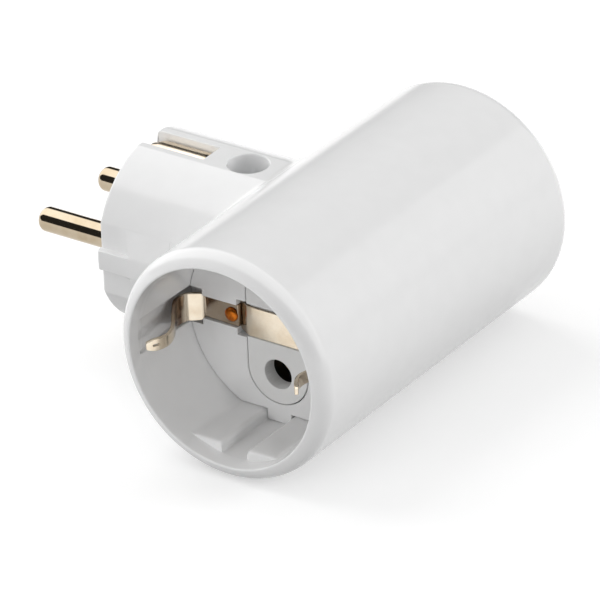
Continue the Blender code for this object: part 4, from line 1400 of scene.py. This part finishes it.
        points = np.stack([
            self.placed(np.stack([flat[:, 0], np.full(len(flat), z)], axis=-1), flat[:, 1])
            for flat, z in sections
        ])
        return grids + [Grid(points, closed_columns=True)]

    def strap(self) -> Grid:
        """The strap over the carrier: a strip that slopes down to a narrower tab at each end.

        Returns:
            The closed grid.
        """
        half = [
            (self.strap_step, self.strap_level), (self.strap_foot, self.tab_level),
            (self.tab_end, self.tab_level),
        ]
        corners = [(-x, level) for x, level in reversed(half)] + half
        bends = [0, self.strap_bend, self.strap_brow, self.strap_brow, self.strap_bend, 0]
        line = rounded(corners, bends, BEND_STEPS)
        line = spread(line, len(line) + self.strap_points)
        widths = np.interp(
            np.abs(line[:, 0]),
            [self.strap_foot, self.strap_neck, self.tab_end - self.tab_taper_run, self.tab_end],
            [self.strap_half, self.tab_half, self.tab_half, self.tab_half - self.tab_taper],
        )
        path = self.placed(np.stack([line[:, 0], np.zeros(len(line))], axis=-1), line[:, 1])
        return strip(path, (0, 0, 1), widths, self.sheet)

    def clip(self, sign: float) -> Grid:
        """An earth clip: a foot, a bend up the wall, an inward crest and a narrow tongue back to the wall.

        The upright follows a smooth curve through the stations (reach, level, half width): each span is a
        cubic whose slope at a station is half the step between its neighbours.

        Args:
            sign: the side of the tube's axis.

        Returns:
            The closed grid.
        """
        stations = np.array([(self.clip_bend, self.foot_level, self.tab_half), *self.clip_stations])
        before = 2 * stations[:1] - stations[1:2]
        after = 2 * stations[-1:] - stations[-2:-1]
        padded = np.concatenate([before, stations, after])
        t = np.linspace(0, 1, self.span_points)[:-1, None]
        spans = [
            (2 * b + (c - a) * t + (2 * a - 5 * b + 4 * c - d) * t**2 + (3 * b - a - 3 * c + d) * t**3) / 2
            for a, b, c, d in zip(padded, padded[1:], padded[2:], padded[3:])
        ]
        curve = np.concatenate([*spans, stations[-1:]])
        reach = np.linspace(self.clip_foot, self.clip_bend, self.foot_points)[:-1]
        half = np.interp(reach, [self.clip_foot, self.clip_bend], [self.clip_foot_half, self.tab_half])
        foot = np.stack([reach, np.full(len(reach), self.foot_level), half], axis=-1)
        line = np.concatenate([foot, curve])
        flat = np.stack([sign * line[:, 0], np.zeros(len(line))], axis=-1)
        return strip(self.placed(flat, line[:, 1]), (0, 0, 1), line[:, 2], self.clip_sheet)

    def clip_slot(self, sign: float) -> Grid:
        """The tool that pierces a clip's tongue: a round-ended slot, carried straight through the sheet.

        A loop point is the slot's place, plus a length along the tongue, plus a height across it.

        Args:
            sign: the side of the tube's axis.

        Returns:
            The closed grid.
        """
        width = self.slot_half_width
        straight = self.slot_half_length - width
        loop = np.concatenate([
            arc((end * straight, 0), width, -end * QUARTER, math.pi - end * QUARTER, self.slot_steps)
            for end in (1, -1)
        ])
        way = np.array(self.slot_way) / np.linalg.norm(self.slot_way)
        through = np.array([-way[1], way[0]])
        reach = self.slot_reach
        rows = []
        for share, depth in ((0, -reach), (1, -reach), (1, reach), (0, reach)):
            place = np.array(self.slot_place) + loop[:, :1] * share * way + depth * through
            flat = np.stack([sign * place[:, 0], loop[:, 1] * share], axis=-1)
            rows.append(self.placed(flat, place[:, 1]))
        return Grid(np.stack(rows), closed_columns=True)

    def pierced_clip(self, sign: float) -> Solid:
        """A clip with the slot cut through its tongue."""
        return combine(working_solid([self.clip(sign)]), working_solid([self.clip_slot(sign)]), Work.CUT)

    def rivet(self, sign: float) -> Grid:
        """A rivet with a low domed head on the clip's foot and an upset tail behind.

        The dome's profile is a quarter ellipse on a short upright rim.

        Args:
            sign: the side of the tube's axis.

        Returns:
            The closed grid.
        """
        seat = self.foot_level + self.clip_sheet / 2 + self.rivet_gap
        turn = np.linspace(0, QUARTER, self.dome_points)
        height = seat + self.rivet_rim + (self.rivet_rise - self.rivet_rim) * np.cos(turn)
        dome = np.stack([self.rivet_head * np.sin(turn), height], axis=-1)
        tail = self.rear - FINE_GAP
        end = tail - self.rivet_tail
        rest = np.array([
            (self.rivet_head, seat), (self.rivet_shank, seat), (self.rivet_shank, tail),
            (self.rivet_head, tail), (self.rivet_head, end), (0, end),
        ])
        profile = np.concatenate([dome, rest]) * (1, self.side.value)
        place = (self.axis + sign * self.rivet_offset, 0, 0)
        return turned(profile, Axis.Y, place, self.rivet_columns)

    def build(self, white: Material, satin: Material, metal: Material, copper: Material) -> None:
        """Build and dress every visible piece of this socket.

        Args:
            white: finish of the floor.
            satin: finish of the carrier.
            metal: finish of the strap and clips.
            copper: finish of the rivets.
        """
        label = self.side.label + "_"
        pieces = [
            ("floor_disc", fused([self.floor()]), white, "white_plastic", "floor"),
            ("carrier_block", fused(self.carrier()), satin, "pale_grey_plastic", "contact_carrier"),
            ("strap_strip", fused([self.strap()]), metal, "nickelled_brass", "earth_strap"),
            ("inner_clip_strip", self.pierced_clip(-1.0), metal, "nickelled_brass", "inner_clip"),
            ("outer_clip_strip", self.pierced_clip(1.0), metal, "nickelled_brass", "outer_clip"),
            ("inner_rivet_set", fused([self.rivet(-1.0)]), copper, "copper", "inner_rivet"),
            ("outer_rivet_set", fused([self.rivet(1.0)]), copper, "copper", "outer_rivet"),
        ]
        for name, solid, material, slot, node in pieces:
            finish_piece(solid, label + name, material, (label + node,))


@dataclass(frozen=True)
class Lamp:
    """A square soft lamp that is aimed at the part and stays out of its reflections."""

    name: str
    place: tuple[float, float, float]
    power: float
    size: float

    def build(self, target: Vector) -> None:
        """Hang the lamp at its place and turn it to the target.

        Args:
            target: the point that it shines at, in metres.
        """
        data = bpy.data.lights.new(self.name, "AREA")
        data.energy = self.power
        data.size = self.size * MM
        obj = bpy.data.objects.new(self.name, data)
        place = Vector(self.place) * MM
        obj.rotation_mode = "QUATERNION"
        obj.rotation_quaternion = (target - place).to_track_quat("-Z", "Y")
        obj.location = place
        obj.visible_glossy = False
        bpy.context.scene.collection.objects.link(obj)


@dataclass
class Studio:
    """Camera, lamps, surroundings and floor for a soft white product setting."""

    floor_level: float = -22.6
    floor_half: float = 4000.0
    camera_place: tuple[float, float, float] = (646.93, -866.04, 562.73)
    camera_right: tuple[float, float, float] = (0.82561252, 0.56321383, -0.03397266)
    camera_up: tuple[float, float, float] = (-0.24219543, 0.40812693, 0.88021235)
    lens: float = 392.25
    nearest: float = 50.0
    farthest: float = 50000.0
    aim: tuple[float, float, float] = (43.5, 0.0, 0.0)
    lamps: tuple[Lamp, ...] = (
        Lamp("key", (-560.0, 60.0, 620.0), 3.5, 800.0),
        Lamp("left_fill", (-900.0, -300.0, 250.0), 1.2, 500.0),
        Lamp("front_fill", (-300.0, -900.0, 250.0), 2.0, 600.0),
        Lamp("back_right", (800.0, 600.0, 350.0), 4.3, 500.0),
        Lamp("low_right", (1000.0, -700.0, 60.0), 2.0, 150.0),
    )
    ambient: float = 0.5
    white: str = "#FFFFFF"
    paper: str = "#9C9C9C"
    shown_paper: str = "#DCDCDC"
    floor_lift: float = 0.41
    overhead: float = 2.0
    bright_room: float = 0.9
    dark_room: float = 0.03
    front_slope: float = 1.63
    back_start: float = 0.62
    back_slope: float = 1.83
    zone_edge: float = 0.05

    def camera(self) -> None:
        """Place the camera by its right and up directions, whose cross product points backwards."""
        data = bpy.data.cameras.new("camera")
        data.lens = self.lens
        data.clip_start = self.nearest * MM
        data.clip_end = self.farthest * MM
        right = Vector(self.camera_right)
        up = Vector(self.camera_up)
        turn = Matrix((right, up, right.cross(up))).transposed().to_4x4()
        obj = bpy.data.objects.new("camera", data)
        obj.matrix_world = Matrix.Translation(Vector(self.camera_place) * MM) @ turn
        bpy.context.scene.collection.objects.link(obj)
        bpy.context.scene.camera = obj

    def zone(self, tree: NodeTree, level: NodeSocket) -> NodeSocket:
        """A share that rises from 0 to 1 where a level passes zero, over the width of a zone's soft edge."""
        edges = {"From Min": -self.zone_edge, "From Max": self.zone_edge}
        return add_node(tree, "ShaderNodeMapRange", edges, {"Value": level}).outputs[0]

    def reflected_room(self, tree: NodeTree) -> NodeSocket:
        """Brightness of the room in reflections: a bright sheet overhead, dark in front and dark behind.

        In front, it is dark below the plane where the height is front_slope times the way forwards. Behind
        back_start, it is dark above the plane where the height is back_slope times the way to the right.

        Args:
            tree: the world's node tree.

        Returns:
            The brightness.
        """
        way = add_node(tree, "ShaderNodeTexCoord").outputs["Generated"]
        x, y, z = add_node(tree, "ShaderNodeSeparateXYZ", links={0: way}).outputs
        above_front = add_node(
            tree, "ShaderNodeMath", {"operation": "MULTIPLY_ADD", 1: self.front_slope}, {0: y, 2: z}
        ).outputs[0]
        below_front = add_node(
            tree, "ShaderNodeMath", {"operation": "MULTIPLY", 1: -1.0}, {0: above_front}
        ).outputs[0]
        past_back = add_node(
            tree, "ShaderNodeMath", {"operation": "SUBTRACT", 1: self.back_start}, {0: y}
        ).outputs[0]
        above_back = add_node(
            tree, "ShaderNodeMath", {"operation": "MULTIPLY_ADD", 1: -self.back_slope}, {0: x, 2: z}
        ).outputs[0]
        front = self.zone(tree, below_front)
        behind = self.zone(tree, past_back)
        back = add_node(
            tree, "ShaderNodeMath", {"operation": "MULTIPLY"}, {0: behind, 1: self.zone(tree, above_back)}
        ).outputs[0]
        levels = {"To Min": self.overhead, "To Max": self.bright_room}
        sheet = add_node(tree, "ShaderNodeMapRange", levels, {"Value": behind}).outputs[0]
        dark = add_node(tree, "ShaderNodeMath", {"operation": "MAXIMUM"}, {0: front, 1: back}).outputs[0]
        return add_node(
            tree, "ShaderNodeMapRange", {"To Max": self.dark_room}, {"Value": dark, "To Min": sheet}
        ).outputs[0]

    def surroundings(self) -> None:
        """A white room to the eye, a soft even light, and a lit and shaded room in reflections."""
        world = bpy.data.worlds.new("studio")
        bpy.context.scene.world = world
        world.use_nodes = True
        tree = world.node_tree
        tree.nodes.clear()
        path = add_node(tree, "ShaderNodeLightPath").outputs
        white = linear(self.white)
        room = self.reflected_room(tree)
        soft = add_node(tree, "ShaderNodeBackground", {"Color": white, "Strength": self.ambient})
        shiny = add_node(tree, "ShaderNodeBackground", {"Color": white}, {"Strength": room})
        seen = add_node(tree, "ShaderNodeBackground", {"Color": white, "Strength": 1.0})
        any_mirror = add_node(
            tree,
            "ShaderNodeMath",
            {"operation": "MAXIMUM"},
            {0: path["Is Glossy Ray"], 1: path["Is Transmission Ray"]},
        ).outputs[0]
        first = add_node(
            tree, "ShaderNodeMixShader", links={0: any_mirror, 1: soft.outputs[0], 2: shiny.outputs[0]}
        ).outputs[0]
        both = add_node(
            tree, "ShaderNodeMixShader", links={0: path["Is Camera Ray"], 1: first, 2: seen.outputs[0]}
        ).outputs[0]
        add_node(tree, "ShaderNodeOutputWorld", links={"Surface": both})

    def floor(self) -> None:
        """A large matt floor that looks whiter, also in reflections, than the light that it throws back."""
        half = self.floor_half * MM
        level = self.floor_level * MM
        corners = [(-half, -half, level), (half, -half, level), (half, half, level), (-half, half, level)]
        mesh = bpy.data.meshes.new("floor")
        mesh.from_pydata(corners, [], [(0, 1, 2, 3)])
        obj = bpy.data.objects.new("studio_floor", mesh)
        bpy.context.scene.collection.objects.link(obj)
        material, tree = new_material("studio_paper")
        path = add_node(tree, "ShaderNodeLightPath").outputs
        shown = add_node(
            tree,
            "ShaderNodeMath",
            {"operation": "MAXIMUM"},
            {0: path["Is Camera Ray"], 1: path["Is Glossy Ray"]},
        ).outputs[0]
        lift = add_node(
            tree, "ShaderNodeMath", {"operation": "MULTIPLY", 1: self.floor_lift}, {0: shown}
        ).outputs[0]
        tone = add_node(
            tree,
            "ShaderNodeMix",
            {"data_type": "RGBA", 6: linear(self.paper), 7: linear(self.shown_paper)},
            {0: shown},
        ).outputs[2]
        paper = add_node(tree, "ShaderNodeBsdfDiffuse", links={"Color": tone}).outputs[0]
        white = linear(self.white)
        glow = add_node(tree, "ShaderNodeEmission", {"Color": white}, {"Strength": lift}).outputs[0]
        both = add_node(tree, "ShaderNodeAddShader", links={0: paper, 1: glow}).outputs[0]
        add_node(tree, "ShaderNodeOutputMaterial", links={"Surface": both})
        mesh.materials.append(material)

    def build(self) -> None:
        """Set up the view, the camera, the lamps, the surroundings and the floor."""
        bpy.context.scene.view_settings.view_transform = "Standard"
        self.camera()
        for lamp in self.lamps:
            lamp.build(Vector(self.aim) * MM)
        self.surroundings()
        self.floor()


def dress_node(name: str, material: Material) -> None:
    """Give a node that stays as it is a better finish.

    Args:
        name: the node's name.
        material: its finish.
    """
    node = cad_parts[name]
    for place in node.material_slots:
        place.material = material
    LOG.info("%s keeps its own form", name)


def tube_axis() -> float:
    """The tube's axis along X, which is the middle of the near socket's floor."""
    low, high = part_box("near_floor")
    return (low.x + high.x) / 2 / MM


def main() -> None:
    """Build the studio and every piece in order."""
    logging.basicConfig(level=logging.INFO, format="%(name)s %(message)s")
    Studio().build()
    white = GLOSSY_WHITE.material()
    satin = SATIN_WHITE.material()
    metal = NICKELLED.material()
    brass = BARE_BRASS.material()
    axis = tube_axis()
    Casing(TubeShell(axis)).build(white)
    PlugFace().build(white, metal, NICKELLED_TURNED.material(), ZINC.material())
    copper = COPPER.material()
    for side in Side:
        Socket(side, axis).build(white, satin, metal, copper)
        dress_node(side.label + "_live_sleeve", brass)
        dress_node(side.label + "_neutral_sleeve", brass)
    for name in ("live_bar", "neutral_bar", "earth_link"):
        dress_node(name, brass)


if __name__ == "__main__":
    main()
